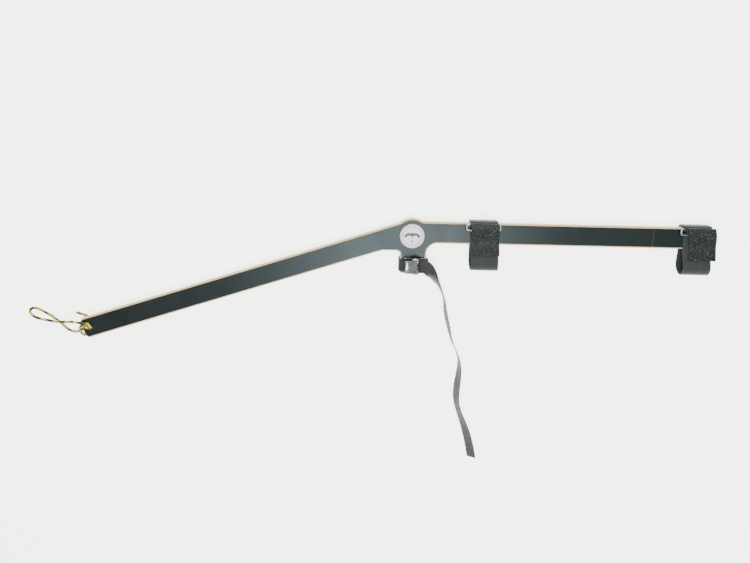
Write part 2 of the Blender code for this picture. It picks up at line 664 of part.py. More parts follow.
def make_pin(finish):
    """Riveted pin: a plain shank with a low domed head outside each cheek."""
    half = BUCKLE_WIDTH / 2 + GAP
    shank = PIN_DIAMETER / 2
    head = PIN_HEAD_DIAMETER / 2
    profile = [(-half - PIN_HEAD_HEIGHT, head * 0.55), (-half - PIN_HEAD_HEIGHT * 0.6, head * 0.88), (-half, head), (-half, shank)]
    profile += [(-y, r) for y, r in reversed(profile)]
    steps = 20

    def build(shape):
        loft(shape, [[(PIN_X + x, PIN_Y + y, PIN_Z + z) for x, z in circle_points((0, 0), r, steps)] for y, r in profile])

    return add_object("cam_pin", mesh_from("cam_pin", build), finish)


def cam_outline():
    """Lever seen along the pin: a cam that shrinks towards the front, and a bent sheet up to the tab."""
    points = []
    steps = 14
    first = radians(-120)
    last = radians(75)
    for i in range(steps + 1):
        share = i / steps
        angle = first + (last - first) * share
        swing = min(1.0, max(0.0, (angle - first) / (radians(-80) - first)))
        late = max(0.0, (angle - radians(-50)) / (last - radians(-50)))
        radius = CAM_RADIUS - CAM_RELIEF * (1 - swing) - CAM_RELIEF * 0.8 * late
        points.append((radius * cos(angle), radius * sin(angle)))
    tab_low = LEVER_RISE - LEVER_SHEET
    points += [
        (-LEVER_REACH * 0.30, LEVER_RISE * 0.74),
        (-LEVER_REACH * 0.62, LEVER_RISE * 0.90),
        (-LEVER_REACH * 0.90, LEVER_RISE),
        (-LEVER_REACH, LEVER_RISE - LEVER_SHEET * 0.3),
        (-LEVER_REACH, tab_low - LEVER_SHEET * 0.8),
        (-LEVER_REACH * 0.88, tab_low - LEVER_SHEET * 0.4),
        (-LEVER_REACH * 0.60, LEVER_RISE * 0.90 - LEVER_SHEET),
        (-LEVER_REACH * 0.32, LEVER_RISE * 0.62 - LEVER_SHEET),
    ]
    return points


def make_cam_lever(finish, parent):
    """Cam and thumb lever in one casting, bored for the pin and notched for the spring."""
    half = INNER_HALF - LEVER_PLAY
    pivot = parent.location

    def build(shape):
        outline = [(PIN_X + x, PIN_Z + z) for x, z in cam_outline()]
        extrude_along_y(shape, outline, PIN_Y - half, PIN_Y + half)

    lever = add_object("cam_lever", mesh_from("cam_lever", build), finish, pivot, parent)

    def build_bore(shape):
        circle = circle_points((PIN_X, PIN_Z), PIN_DIAMETER / 2 + GAP, 20)
        extrude_along_y(shape, circle, PIN_Y - BUCKLE_WIDTH, PIN_Y + BUCKLE_WIDTH)

    def build_notch(shape):
        reach = CAM_RADIUS * 2
        ceiling = PIN_DIAMETER / 2 + SPRING_WIRE + 3 * GAP
        low = (PIN_X - reach, PIN_Y - SPRING_NOTCH / 2, PIN_Z - reach)
        box(shape, low, (PIN_X + reach, PIN_Y + SPRING_NOTCH / 2, PIN_Z + ceiling))

    for name, build_cutter in (("lever_bore_cutter", build_bore), ("spring_notch_cutter", build_notch)):
        cut(lever, add_object(name, mesh_from(name, build_cutter), finish, pivot, parent))
    return lever


def make_spring(finish):
    """Torsion spring round the pin, with one leg on the frame and one under the lever."""
    radius = PIN_DIAMETER / 2 + GAP + SPRING_WIRE / 2
    steps = 12
    half = SPRING_TURNS * (SPRING_WIRE + GAP) / 2
    points = []
    turns = SPRING_TURNS - 0.5
    start_angle = radians(-90)
    leg = CAM_RADIUS * 0.9
    points.append(Vector((PIN_X + leg, PIN_Y - half, PIN_Z - radius)))
    for i in range(int(turns * steps) + 1):
        share = i / (turns * steps)
        angle = start_angle - 2 * pi * turns * share
        points.append(
            Vector((PIN_X + radius * cos(angle), PIN_Y - half + 2 * half * share, PIN_Z + radius * sin(angle)))
        )
    points.append(Vector((PIN_X + leg * 0.55, PIN_Y + half, PIN_Z + radius)))
    curve = bpy.data.curves.new("cam_spring", "CURVE")
    curve.dimensions = "3D"
    curve.bevel_depth = SPRING_WIRE / 2
    curve.bevel_resolution = 1
    curve.use_fill_caps = True
    spline = curve.splines.new("POLY")
    spline.points.add(len(points) - 1)
    for spline_point, point in zip(spline.points, points):
        spline_point.co = (*point, 1.0)
    return add_object("cam_spring", curve, finish)


def hub_strap_path():
    """Webbing seen along y: from under the cam, round the foot with some slack, and sewn round the bar."""
    half = WEBBING_THICKNESS / 2
    pitch = WEBBING_THICKNESS + GAP
    left = FOOT_OFFSET - FOOT_WIDTH / 2 - GAP - half - STRAP_SAG_SIDE
    right = FOOT_OFFSET + FOOT_WIDTH / 2 + GAP + half + STRAP_SAG_SIDE / 2
    bar_radius = BUCKLE_SHEET / 2 + GAP + half
    bar_z = BASE_LOW + BUCKLE_SHEET / 2
    belly = 0.0075
    loop = rounded_path(
        [
            (PIN_X + 0.002, WEBBING_ON_BASE, 0),
            (left, WEBBING_ON_BASE, 0.0035),
            (left, half, belly),
            (right, half, belly),
            (right, bar_z - bar_radius, 0.0022),
            (BAR_FRONT_X, bar_z - bar_radius, 0),
        ]
    )
    round_bar = arc((BAR_FRONT_X, bar_z), bar_radius, -pi / 2, -pi, 8)
    sewn = rounded_path(
        [
            (BAR_FRONT_X, bar_z + bar_radius, 0),
            (right + pitch, bar_z + bar_radius, 0.0022 + pitch),
            (right + pitch, FACE_BOTTOM - CORE_THICKNESS, 0),
        ]
    )
    return without_repeats(loop + round_bar[1:-1] + sewn)


def make_hub_strap(finish):
    path = hub_strap_path()
    centres = [Vector((p.x, BUCKLE_CENTRE[1], p.y)) for p in path]
    normals = [Vector((-t.y, 0, t.x)) for t in tangents(path)]
    across = [Vector((0, 1, 0))] * len(path)

    def build(shape):
        swept_strip(shape, centres, across, normals, WEBBING_WIDTH, WEBBING_THICKNESS)

    return add_object("hub_strap", mesh_from("hub_strap", build), finish)


def make_strap_tail(finish):
    """Free end of the webbing: it leaves the buckle flat, turns onto its edge and lies down again."""
    route = [Vector((x, y, z, tilt)) for x, y, z, tilt in WEBBING_TAIL_ROUTE]
    samples = smooth_route(route, 4.0)
    centres = [millimetres(sample[:3]) for sample in samples]
    directions = tangents(centres)
    across = []
    for direction, sample in zip(directions, samples):
        level = Vector((0, 0, 1)).cross(direction).normalized()
        upright = direction.cross(level)
        tilt = radians(sample[3])
        across.append(level * cos(tilt) + upright * sin(tilt))
    normals = [direction.cross(side) for direction, side in zip(directions, across)]

    def build(shape):
        swept_strip(shape, centres, across, normals, WEBBING_WIDTH, WEBBING_THICKNESS)

    return add_object("hub_strap_tail", mesh_from("hub_strap_tail", build), finish)


# ---- the cord at the tip -------------------------------------------------------------------------
def from_tip_hole(route):
    hole = Vector((TIP_HOLE.x, TIP_HOLE.y, 0))
    return [hole + millimetres(point) for point in route]


def make_tip_cord(finish):
    for name, route in (
        ("tip_cord_loop", CORD_LOOP_ROUTE),
        ("tip_cord_wrap", CORD_WRAP_ROUTE),
        ("tip_cord_tail", CORD_TAIL_ROUTE),
    ):
        cord_tube(name, smooth_route(from_tip_hole(route), CORD_DIAMETER * 1.6), finish)

    def build_knot(shape):
        height = STAND_HEIGHT - 2 * GAP
        rings = 8
        loops = []
        for i in range(rings + 1):
            angle = pi * (0.06 + 0.88 * i / rings)
            radius = KNOT_DIAMETER / 2 * sin(angle) ** 0.7
            z = GAP + height / 2 - height / 2 * cos(angle) / cos(0.06 * pi)
            loops.append([(x, y, z) for x, y in circle_points(TIP_HOLE, radius, 20)])
        loft(shape, loops)

    add_object("tip_cord_knot", mesh_from("tip_cord_knot", build_knot), finish)


# ---- assembly ------------------------------------------------------------------------------------
def footprint_middle(left_out):
    """Middle, in plan, of the box round every piece that isn't left out."""
    bpy.context.view_layer.update()
    corners = []
    graph = bpy.context.evaluated_depsgraph_get()
    for piece in bpy.data.objects:
        if piece.hide_render or piece.type == "EMPTY" or piece.name in left_out:
            continue
        evaluated = piece.evaluated_get(graph)
        mesh = evaluated.to_mesh()
        corners += [evaluated.matrix_world @ vertex.co for vertex in mesh.vertices]
        evaluated.to_mesh_clear()
    middle = [(min(c[k] for c in corners) + max(c[k] for c in corners)) / 2 for k in range(2)]
    return Vector((*middle, 0))


def main():
    for leftover in list(bpy.data.objects):
        bpy.data.objects.remove(leftover)

    birch = material("birch_plywood", (0.72, 0.56, 0.36), 0.55)
    film = material("black_film", (0.012, 0.014, 0.014), 0.32)
    print_white = material("badge_print", (0.86, 0.82, 0.83), 0.4)
    plated = material("plated_steel", (0.72, 0.73, 0.74), 0.24, 1.0)
    spring_steel = material("spring_steel", (0.42, 0.42, 0.43), 0.3, 1.0)
    webbing = material("black_webbing", (0.035, 0.038, 0.036), 0.85)
    strap = material("cinch_strap", (0.028, 0.031, 0.031), 0.8)
    flap = material("cinch_flap", (0.024, 0.027, 0.028), 0.9)
    ring = material("ring_metal", (0.6, 0.62, 0.61), 0.35, 1.0)
    cord = material("braided_cord", (0.55, 0.47, 0.06), 0.75)

    bar = bpy.data.objects.new("bar_origin", None)
    bpy.context.scene.collection.objects.link(bar)

    hole = make_tip_hole_cutter(film)
    for piece in (
        make_core(birch),
        make_film("front_film", FACE_BOTTOM, film),
        make_film("back_film", BACK_FILM_BOTTOM, film),
    ):
        cut(piece, hole)
    make_badge(print_white)

    straps = {"strap": strap, "flap": flap, "ring": ring}
    make_cinch("front_cinch", FRONT_CINCH_X, -0.0017, 0.06, 0.002, straps, bar)
    make_cinch("rear_cinch", REAR_CINCH_X, -0.003, 0.09, 0.009, straps, bar)

    lever_pivot = bpy.data.objects.new("cam_lever_pivot", None)
    bpy.context.scene.collection.objects.link(lever_pivot)
    lever_pivot.location = (PIN_X, PIN_Y, PIN_Z)
    make_buckle_frame(plated)
    make_pin(plated)
    make_cam_lever(plated, lever_pivot)
    make_spring(spring_steel)
    make_hub_strap(webbing)
    make_strap_tail(webbing)
    make_tip_cord(cord)

    free = ("hub_strap_tail", "tip_cord_loop", "tip_cord_wrap", "tip_cord_tail", "tip_cord_knot")
    middle = footprint_middle(free)
    for piece in bpy.data.objects:
        if piece.parent is None and piece is not bar:
            piece.parent = bar
    bar.location = -middle


main()
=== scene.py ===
import json
from math import atan2, cos, degrees, pi, radians, sin, tan

import bmesh
import bpy
import numpy as np
from mathutils import Matrix, Vector

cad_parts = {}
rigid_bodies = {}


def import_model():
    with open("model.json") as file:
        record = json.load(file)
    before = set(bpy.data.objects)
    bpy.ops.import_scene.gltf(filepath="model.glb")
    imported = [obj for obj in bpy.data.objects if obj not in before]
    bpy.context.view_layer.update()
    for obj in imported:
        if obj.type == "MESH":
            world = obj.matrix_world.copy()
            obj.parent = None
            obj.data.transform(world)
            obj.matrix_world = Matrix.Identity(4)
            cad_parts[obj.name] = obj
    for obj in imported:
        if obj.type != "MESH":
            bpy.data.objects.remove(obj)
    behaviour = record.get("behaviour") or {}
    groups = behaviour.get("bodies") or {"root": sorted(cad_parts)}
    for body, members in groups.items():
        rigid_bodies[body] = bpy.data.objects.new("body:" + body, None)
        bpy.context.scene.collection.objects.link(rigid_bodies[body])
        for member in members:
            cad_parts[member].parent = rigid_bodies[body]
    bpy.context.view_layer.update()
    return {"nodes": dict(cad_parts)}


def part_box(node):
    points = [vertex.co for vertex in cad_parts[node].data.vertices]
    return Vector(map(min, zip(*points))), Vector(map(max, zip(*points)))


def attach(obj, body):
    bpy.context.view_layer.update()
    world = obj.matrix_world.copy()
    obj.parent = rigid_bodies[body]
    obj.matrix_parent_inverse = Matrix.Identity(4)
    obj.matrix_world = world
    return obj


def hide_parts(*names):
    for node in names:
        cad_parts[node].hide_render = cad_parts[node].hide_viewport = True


for leftover in list(bpy.data.objects):
    bpy.data.objects.remove(leftover)

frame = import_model()

# ---- The bar's two landmarks -----------------------------------------------------------------------
# The badge sits on the hub's centre, and the cord's knot hangs under the hole at the tip. Every plan
# position in this file is given in millimetres from one of these two, and heights are from the table.
badge_low, badge_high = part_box("badge_disc")
HUB = Vector(((badge_low.x + badge_high.x) / 2, (badge_low.y + badge_high.y) / 2, 0))
knot_low, knot_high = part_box("tip_cord_knot")
TIP_HOLE = Vector(((knot_low.x + knot_high.x) / 2, (knot_low.y + knot_high.y) / 2, 0))


def from_hub(x, y, z=0.0):
    return HUB + Vector((x, y, z)) / 1000


def from_tip_hole(x, y, z=0.0):
    return TIP_HOLE + Vector((x, y, z)) / 1000


# ---- Camera ----------------------------------------------------------------------------------------
# A moderately wide lens on a stand over the table, leaning 14 degrees from straight down and turned by a
# little over one degree.


def linked(name, data):
    made = bpy.data.objects.new(name, data)
    bpy.context.scene.collection.objects.link(made)
    return made


camera_data = bpy.data.cameras.new("camera")
camera_data.sensor_width = 36.0
camera_data.lens = 34.368
camera_data.clip_start = 0.05
camera_data.clip_end = 20.0
camera = linked("camera", camera_data)
camera_place = Matrix.Translation(from_hub(-65.2, 208.2, 1169.2))
lean = radians(14.0)
turn = Matrix.Rotation(radians(1.30), 4, "Z")
camera.matrix_world = camera_place @ turn @ Matrix.Rotation(-lean, 4, "X")
bpy.context.scene.camera = camera

# ---- Table and studio light ------------------------------------------------------------------------
# A backlit white table under one large softbox, which shows as the broad sheen on the film round the
# hub, and a weaker fill from behind the camera.
table_mesh = bpy.data.meshes.new("table")
HALF_TABLE = 6.0
TABLE_HEIGHT = -0.0003
corner_signs = ((-1, -1), (1, -1), (1, 1), (-1, 1))
table_corners = [(HALF_TABLE * sx, HALF_TABLE * sy, TABLE_HEIGHT) for sx, sy in corner_signs]
table_mesh.from_pydata(table_corners, [], [(0, 1, 2, 3)])
table = linked("table", table_mesh)
table_paper = bpy.data.materials.new("table_paper")
table_paper.use_nodes = True
table_shader = table_paper.node_tree.nodes["Principled BSDF"]
table_shader.inputs["Base Color"].default_value = (0.93, 0.935, 0.93, 1)
table_shader.inputs["Roughness"].default_value = 0.9
table_shader.inputs["Emission Color"].default_value = (1.0, 1.0, 0.99, 1)
table_shader.inputs["Emission Strength"].default_value = 3.4
table_mesh.materials.append(table_paper)


def softbox(name, place, target, size, watts):
    data = bpy.data.lights.new(name, "AREA")
    data.shape = "RECTANGLE"
    data.size, data.size_y = size
    data.energy = watts
    light = linked(name, data)
    light.location = place
    light.rotation_mode = "QUATERNION"
    light.rotation_quaternion = (target - place).to_track_quat("-Z", "Y")


softbox("key_softbox", from_hub(40, -330, 1500), from_hub(0, -40, 0), (0.62, 0.5), 22)
softbox("fill_softbox", from_hub(-300, 1500, 1900), from_hub(0, 0, 0), (2.2, 1.4), 31)

sky = bpy.data.worlds.new("studio")
bpy.context.scene.world = sky
sky.use_nodes = True
sky.node_tree.nodes["Background"].inputs["Color"].default_value = (0.93, 0.97, 0.96, 1)
sky.node_tree.nodes["Background"].inputs["Strength"].default_value = 1.0

# ---- Cord loop at the tip --------------------------------------------------------------------------
# A sixteen-strand polyester cord, 4.6 mm across, braided from yellow and black yarns. It passes through
# the hole at the tip, is wound once over the tip, and is knotted below it; the loop takes the tow line.
CORD_DIAMETER = 0.0046
CORD_ROUTES = {
    "loop": [
        (-2.5, -0.2, 22.6), (-2.6, 0.1, 26.0), (-2.8, 0.9, 29.6), (-3.6, 3.0, 32.2), (-5.4, 6.0, 33.0),
        (-8.6, 8.4, 32.9), (-13.0, 9.2, 31.6), (-18.5, 8.8, 28.6), (-25.0, 7.9, 23.8), (-32.0, 6.6, 18.0),
        (-41.0, 4.6, 12.6), (-50.0, 3.4, 9.2), (-58.5, 3.0, 7.7), (-66.5, 2.6, 5.8), (-76.0, 3.6, 3.2),
        (-88.0, 5.2, 2.5), (-98.5, 8.4, 2.5), (-105.4, 13.2, 2.5), (-107.4, 19.2, 2.5), (-104.0, 24.2, 2.5),
        (-97.0, 24.8, 2.5), (-87.5, 21.0, 2.5), (-76.0, 14.5, 2.5), (-66.5, 7.8, 2.5), (-58.8, 1.8, 2.5),
        (-51.2, -6.0, 2.5), (-42.0, -12.8, 2.8), (-31.0, -15.0, 4.0), (-21.0, -10.8, 4.7), (-13.6, -4.9, 4.7),
        (-9.9, -2.9, 4.7),
    ],
    "wrap": [
        (2.4, 0.1, 22.6), (2.4, 0.6, 25.8), (1.7, 2.9, 28.1), (-0.8, 6.0, 27.9), (-4.8, 7.0, 27.6),
        (-9.2, 5.6, 27.4), (-13.0, 2.0, 27.2), (-15.4, -2.2, 25.2), (-16.8, -6.6, 21.4), (-17.6, -11.4, 16.6),
        (-17.2, -16.4, 11.4), (-14.6, -19.4, 7.2), (-10.8, -16.4, 4.8), (-7.6, -11.4, 4.7), (-5.7, -8.4, 4.7),
    ],
    "tail": [(-5.4, 9.1, 4.7), (-9.0, 12.6, 4.7), (-15.0, 15.4, 4.6), (-22.0, 17.6, 4.2), (-29.0, 19.2, 3.6)],
}


def travel(points):
    """The distance along a line of points, up to each of them."""
    return np.concatenate([[0], np.cumsum(np.linalg.norm(np.diff(points, axis=0), axis=1))])


def smooth_line(points, spacing):
    """Evenly spaced points along a Catmull-Rom curve through the points, which may carry extra values."""
    given = np.array(points, float)
    padded = np.vstack([2 * given[0] - given[1], given, 2 * given[-1] - given[-2]])
    fine = []
    for a, b, c, d in zip(padded, padded[1:], padded[2:], padded[3:]):
        for t in np.linspace(0, 1, 24, endpoint=False):
            fine.append(
                (2 * b + (c - a) * t + (2 * a - 5 * b + 4 * c - d) * t**2 + (3 * b - a - 3 * c + d) * t**3)
                / 2
            )
    fine = np.array(fine + [given[-1]])
    travelled = travel(fine[:, :3])
    even = np.linspace(0, travelled[-1], max(2, round(travelled[-1] / spacing)) + 1)
    return np.column_stack([np.interp(even, travelled, column) for column in fine.T])


def directions_of(points):
    ahead = np.vstack([points[1:], points[-1:]])
    behind = np.vstack([points[:1], points[:-1]])
    steps = ahead - behind
    return steps / np.linalg.norm(steps, axis=1)[:, None]


def face_outward(mesh):
    shape = bmesh.new()
    shape.from_mesh(mesh)
    bmesh.ops.recalc_face_normals(shape, faces=shape.faces)
    shape.to_mesh(mesh)
    shape.free()


def grid_piece(name, rings, material):
    """A mesh object skinned over rings of points, with its two end rings capped, and a UV map: U runs
    once round each ring, V along the piece in centimetres."""
    count, around = rings.shape[:2]
    vertices = rings.reshape(-1, 3)
    i, j = np.meshgrid(np.arange(count - 1), np.arange(around), indexing="ij")
    k = (j + 1) % around
    quads = np.stack(
        [i * around + j, i * around + k, (i + 1) * around + k, (i + 1) * around + j], axis=-1
    ).reshape(-1, 4)
    faces = quads.tolist()
    faces.append(list(range(around))[::-1])
    faces.append(list(range((count - 1) * around, count * around)))
    mesh = bpy.data.meshes.new(name)
    mesh.from_pydata(vertices.tolist(), [], faces)
    middles = rings.mean(axis=1)
    along = travel(middles) * 100
    uv = mesh.uv_layers.new(name="UVMap")
    u_here = np.stack([j, j + 1, j + 1, j], axis=-1).reshape(-1) / around
    v_here = np.stack([along[i], along[i], along[i + 1], along[i + 1]], axis=-1).reshape(-1)
    flat = np.zeros((len(mesh.loops), 2), np.float32)
    flat[: len(u_here), 0] = u_here
    flat[: len(v_here), 1] = v_here
    uv.data.foreach_set("uv", flat.ravel())
    face_outward(mesh)
    mesh.shade_smooth()
    mesh.set_sharp_from_angle(angle=radians(60))
    mesh.materials.append(material)
    return linked(name, mesh)


STRANDS_EACH_WAY = 8
BRAID_PITCH = 0.024


def braided_rings(line, radius, around=48):
    """Rings of a braided surface and, for each point, how black its yarn is. A strand of the braid is on
    top in every other diamond, and crowns over the one below it."""
    tangents = directions_of(line)
    side = np.cross(tangents[0], (0.31, 0.52, 0.8))
    sides = []
    for tangent in tangents:
        side = side - tangent * (side @ tangent)
        side = side / np.linalg.norm(side)
        sides.append(side)
    sides = np.array(sides)
    others = np.cross(tangents, sides)
    travelled = travel(line)
    angle = np.linspace(0, 2 * pi, around, endpoint=False)
    turns = angle[None, :] / (2 * pi)
    run = travelled[:, None] / BRAID_PITCH
    left = STRANDS_EACH_WAY * (turns + run)
    right = STRANDS_EACH_WAY * (turns - run)
    left_on_top = (np.floor(left) + np.floor(right)) % 2 < 1
    across = np.where(left_on_top, left % 1, right % 1)
    lengthwise = np.where(left_on_top, right % 1, left % 1)
    crown = np.sqrt(np.clip(1 - (2 * across - 1) ** 2 * 0.92, 0, 1)) * (0.72 + 0.28 * np.sin(pi * lengthwise))
    number = np.where(left_on_top, np.floor(left) % STRANDS_EACH_WAY, np.floor(right) % STRANDS_EACH_WAY)
    black = np.where(left_on_top, number < 5, number > 2).astype(float)
    reach = radius * (0.86 + 0.14 * crown)
    angle = angle[None, :, None]
    normal = np.cos(angle) * sides[:, None, :] + np.sin(angle) * others[:, None, :]
    return line[:, None, :] + normal * reach[:, :, None], black, crown


def braided_piece(name, line, radius, material):
    rings, black, crown = braided_rings(line, radius)
    melt = np.clip(np.minimum(np.arange(len(line)), np.arange(len(line))[::-1]) / 4.0, 0, 1)
    shrink = np.sqrt(1 - (1 - melt) ** 2 * 0.65)
    rings = line[:, None, :] + (rings - line[:, None, :]) * shrink[:, None, None]
    piece = grid_piece(name, rings, material)
    for label, values in (("black_yarn", black), ("crown", crown)):
        attribute = piece.data.attributes.new(label, "FLOAT", "POINT")
        attribute.data.foreach_set("value", values.astype(np.float32).ravel())
    return piece


def new_node(tree, kind, inputs, settings):
    """Adds a node to a tree. Inputs are numbers, colours or the output sockets that feed them."""
    made = tree.nodes.new(kind)
    for name, value in settings.items():
        setattr(made, name, value)
    for key, value in dict(inputs).items():
        if isinstance(value, bpy.types.NodeSocket):
            tree.links.new(value, made.inputs[key])
        else:
            made.inputs[key].default_value = value
    return made


def add_node(material, kind, inputs=(), **settings):
    return new_node(material.node_tree, kind, inputs, settings)


def new_finish(name, roughness, metallic=0.0, **sockets):
    """A material, and its Principled shader to be wired up."""
    material = bpy.data.materials.new(name)
    material.use_nodes = True
    shader = material.node_tree.nodes["Principled BSDF"]
    shader.inputs["Roughness"].default_value = roughness
    shader.inputs["Metallic"].default_value = metallic
    for socket, value in sockets.items():
        shader.inputs[socket.replace("_", " ")].default_value = value
    return material, shader


def wire(material, shader, **links):
    for socket, source in links.items():
        material.node_tree.links.new(source, shader.inputs[socket.replace("_", " ")])


def ramp(material, fac, stops):
    made = add_node(material, "ShaderNodeValToRGB", {"Fac": fac})
    while len(made.color_ramp.elements) < len(stops):
        made.color_ramp.elements.new(0.5)
    for element, (place, colour) in zip(made.color_ramp.elements, stops):
        element.position = place
        element.color = (*colour, 1)
    return made.outputs["Color"]


def maths(material, operation, *values):
    return add_node(material, "ShaderNodeMath", enumerate(values), operation=operation).outputs[0]


def mixed(material, factor, first, second, blend="MIX"):
    made = add_node(
        material, "ShaderNodeMix", {0: factor, 6: first, 7: second}, data_type="RGBA", blend_type=blend
    )
    return made.outputs[2]


def noise(material, place, scale, detail, roughness=0.5):
    inputs = {"Vector": place, "Scale": scale, "Detail": detail, "Roughness": roughness}
    return add_node(material, "ShaderNodeTexNoise", inputs).outputs["Fac"]


def bumped(material, height, strength, distance):
    made = add_node(
        material, "ShaderNodeBump", {"Height": height, "Strength": strength, "Distance": distance}
    )
    return made.outputs["Normal"]


def object_place(material, location=(0, 0, 0), angle=0.0, scale=(1, 1, 1)):
    place = add_node(material, "ShaderNodeTexCoord").outputs["Object"]
    mapping = add_node(material, "ShaderNodeMapping", {"Vector": place}, vector_type="TEXTURE")
    mapping.inputs["Location"].default_value = location
    mapping.inputs["Rotation"].default_value = (0, 0, angle)
    mapping.inputs["Scale"].default_value = scale
    return mapping.outputs["Vector"]


def set_material(obj, material):
    obj.data.materials.clear()
    obj.data.materials.append(material)


yarn, yarn_shader = new_finish(
    "braided_yarn", 0.6, Specular_IOR_Level=0.3, Sheen_Weight=0.05, Sheen_Roughness=0.4
)
black_yarn = add_node(yarn, "ShaderNodeAttribute", attribute_name="black_yarn").outputs["Fac"]
yarn_crown = add_node(yarn, "ShaderNodeAttribute", attribute_name="crown").outputs["Fac"]
yarn_place = object_place(yarn)
yarn_wear = noise(yarn, yarn_place, 900.0, 3.0)
yellow = ramp(yarn, yarn_wear, [(0.3, (0.62, 0.48, 0.006)), (0.7, (0.86, 0.72, 0.015))])
black = ramp(yarn, yarn_wear, [(0.3, (0.010, 0.010, 0.011)), (0.7, (0.032, 0.032, 0.034))])
two_tone = mixed(yarn, black_yarn, yellow, black)
# Painted shade: the yarn colour is darkened where the braid's crown is low, in the gaps between the strands.
gap_shade_painted = ramp(yarn, yarn_crown, [(0.15, (0.30, 0.30, 0.30)), (0.75, (1, 1, 1))])
yarn_colour = mixed(yarn, 1.0, two_tone, gap_shade_painted, "MULTIPLY")
filament_uv = add_node(yarn, "ShaderNodeUVMap", uv_map="UVMap").outputs["UV"]
filament_map = add_node(
    yarn, "ShaderNodeMapping", {"Vector": filament_uv, "Scale": (70.0, 6.0, 1.0)}
).outputs["Vector"]
filaments = noise(yarn, filament_map, 3.0, 3.0)
wire(yarn, yarn_shader, Base_Color=yarn_colour, Normal=bumped(yarn, filaments, 0.4, 0.0001))

cord_pieces = {}
cord_lines = {}
for strand, route in CORD_ROUTES.items():
    cord_lines[strand] = smooth_line([from_tip_hole(*point) for point in route], 0.00035)
    cord_pieces[strand] = braided_piece("cord_" + strand, cord_lines[strand], CORD_DIAMETER / 2, yarn)

# The knot below the tip: two flat turns of the same cord, with the end tucked through their middle.
KNOT_TURNS = 1.85
KNOT_STEPS = 40
knot_turns = []
for step in range(KNOT_STEPS + 1):
    share = step / KNOT_STEPS
    angle = radians(200) + share * 2 * pi * KNOT_TURNS
    knot_turns.append(from_tip_hole(6.9 * cos(angle), 6.9 * sin(angle), 2.75 + 4.1 * share))
knot_line = smooth_line(knot_turns, 0.0004)
knot = braided_piece("cord_knot", knot_line, CORD_DIAMETER / 2 * 0.98, yarn)
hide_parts("tip_cord_knot")
tuck_line = smooth_line([from_tip_hole(x, 0.55 * x, 4.8) for x in (-3.6, -1.5, 0.0, 1.5, 3.6)], 0.0004)
tuck = braided_piece("cord_tuck", tuck_line, CORD_DIAMETER / 2 * 0.95, yarn)
for piece in (knot, tuck, *cord_pieces.values()):
    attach(piece, "bar")
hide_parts("tip_cord_tail")
ends = (("loop", "knot", [knot, tuck, cord_pieces["tail"]]), ("wrap", "object", []))
for strand, far_end, together in ends:
    piece = cord_pieces[strand]
    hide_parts("tip_cord_" + strand)

# ---- Plywood arm with its film faces ---------------------------------------------------------------
# The arm is sawn from one board of film-faced birch plywood. Its edges are rounded over with a router,
# which bares the light plies between the two black phenolic films, and then oiled.
birch, birch_shader = new_finish("birch_plies", 0.5)
PLY = 0.00135
board_place = object_place(birch)
board_axes = add_node(birch, "ShaderNodeSeparateXYZ", {"Vector": board_place})
ripple = noise(birch, board_place, 14.0, 2.0)
height = maths(birch, "MULTIPLY_ADD", ripple, 0.0003, board_axes.outputs["Z"])
ply_phase = maths(birch, "DIVIDE", height, PLY)
ply_index = maths(birch, "FLOOR", ply_phase)
cross_grain = maths(birch, "MODULO", ply_index, 2.0)
in_ply = maths(birch, "FRACT", ply_phase)
glue_line = maths(birch, "LESS_THAN", in_ply, 0.12)
ply_tone = ramp(birch, cross_grain, [(0.0, (0.70, 0.54, 0.29)), (1.0, (0.58, 0.41, 0.20))])
fibre_place = object_place(birch, scale=(0.012, 0.012, 0.0006))
fibres = noise(birch, fibre_place, 2.4, 6.0, 0.65)
fibre_tone = ramp(birch, fibres, [(0.28, (0.82, 0.78, 0.72)), (0.72, (1.06, 1.04, 1.0))])
wood_tone = mixed(birch, 1.0, ply_tone, fibre_tone, "MULTIPLY")
glue_tone = mixed(
    birch, maths(birch, "MULTIPLY", glue_line, 0.45), wood_tone, (0.16, 0.09, 0.045, 1)
)
pores = add_node(
    birch,
    "ShaderNodeTexVoronoi",
    {"Vector": object_place(birch, scale=(0.0016, 0.0016, 0.0004)), "Scale": 1.0},
)
pore_mask = maths(birch, "LESS_THAN", pores.outputs["Distance"], 0.16)
pore_dark = maths(birch, "MULTIPLY", maths(birch, "MULTIPLY", pore_mask, cross_grain), 0.5)
pored = mixed(birch, pore_dark, glue_tone, (0.12, 0.075, 0.04, 1))
ply_relief = maths(birch, "SUBTRACT", fibres, maths(birch, "MULTIPLY", glue_line, 0.6))
birch_bump = bumped(birch, ply_relief, 0.5, 0.00012)
birch_rough = maths(birch, "MULTIPLY_ADD", fibres, 0.25, 0.36)
wire(birch, birch_shader, Base_Color=pored, Roughness=birch_rough, Normal=birch_bump)
set_material(frame["nodes"]["plywood_core"], birch)

# The phenolic film is pressed on hot. It keeps a faint orange peel and the ghost of the veneer's grain
# below it, and it picks up fine scuffs in use.
SCORE_X = from_hub(391, 0).x
film, film_shader = new_finish(
    "phenolic_film", 0.4, Specular_IOR_Level=0.27, Specular_Tint=(0.78, 0.97, 1.0, 1)
)
film_place = object_place(film)
peel = noise(film, film_place, 420.0, 3.0)
veneer = noise(film, object_place(film, scale=(0.05, 0.0016, 0.01)), 1.0, 4.0)
cloud = noise(film, film_place, 16.0, 3.0, 0.6)
scuff_place = object_place(film, angle=radians(24), scale=(0.020, 0.00055, 0.01))
scuffs = noise(film, scuff_place, 1.0, 1.0)
scuff_mask = ramp(film, scuffs, [(0.71, (0, 0, 0)), (0.77, (1, 1, 1))])
film_tone = ramp(film, cloud, [(0.3, (0.0050, 0.0068, 0.0066)), (0.7, (0.0085, 0.0108, 0.0106))])
scuffed = mixed(film, maths(film, "MULTIPLY", scuff_mask, 0.25), film_tone, (0.07, 0.075, 0.07, 1))
film_axes = add_node(film, "ShaderNodeSeparateXYZ", {"Vector": film_place})
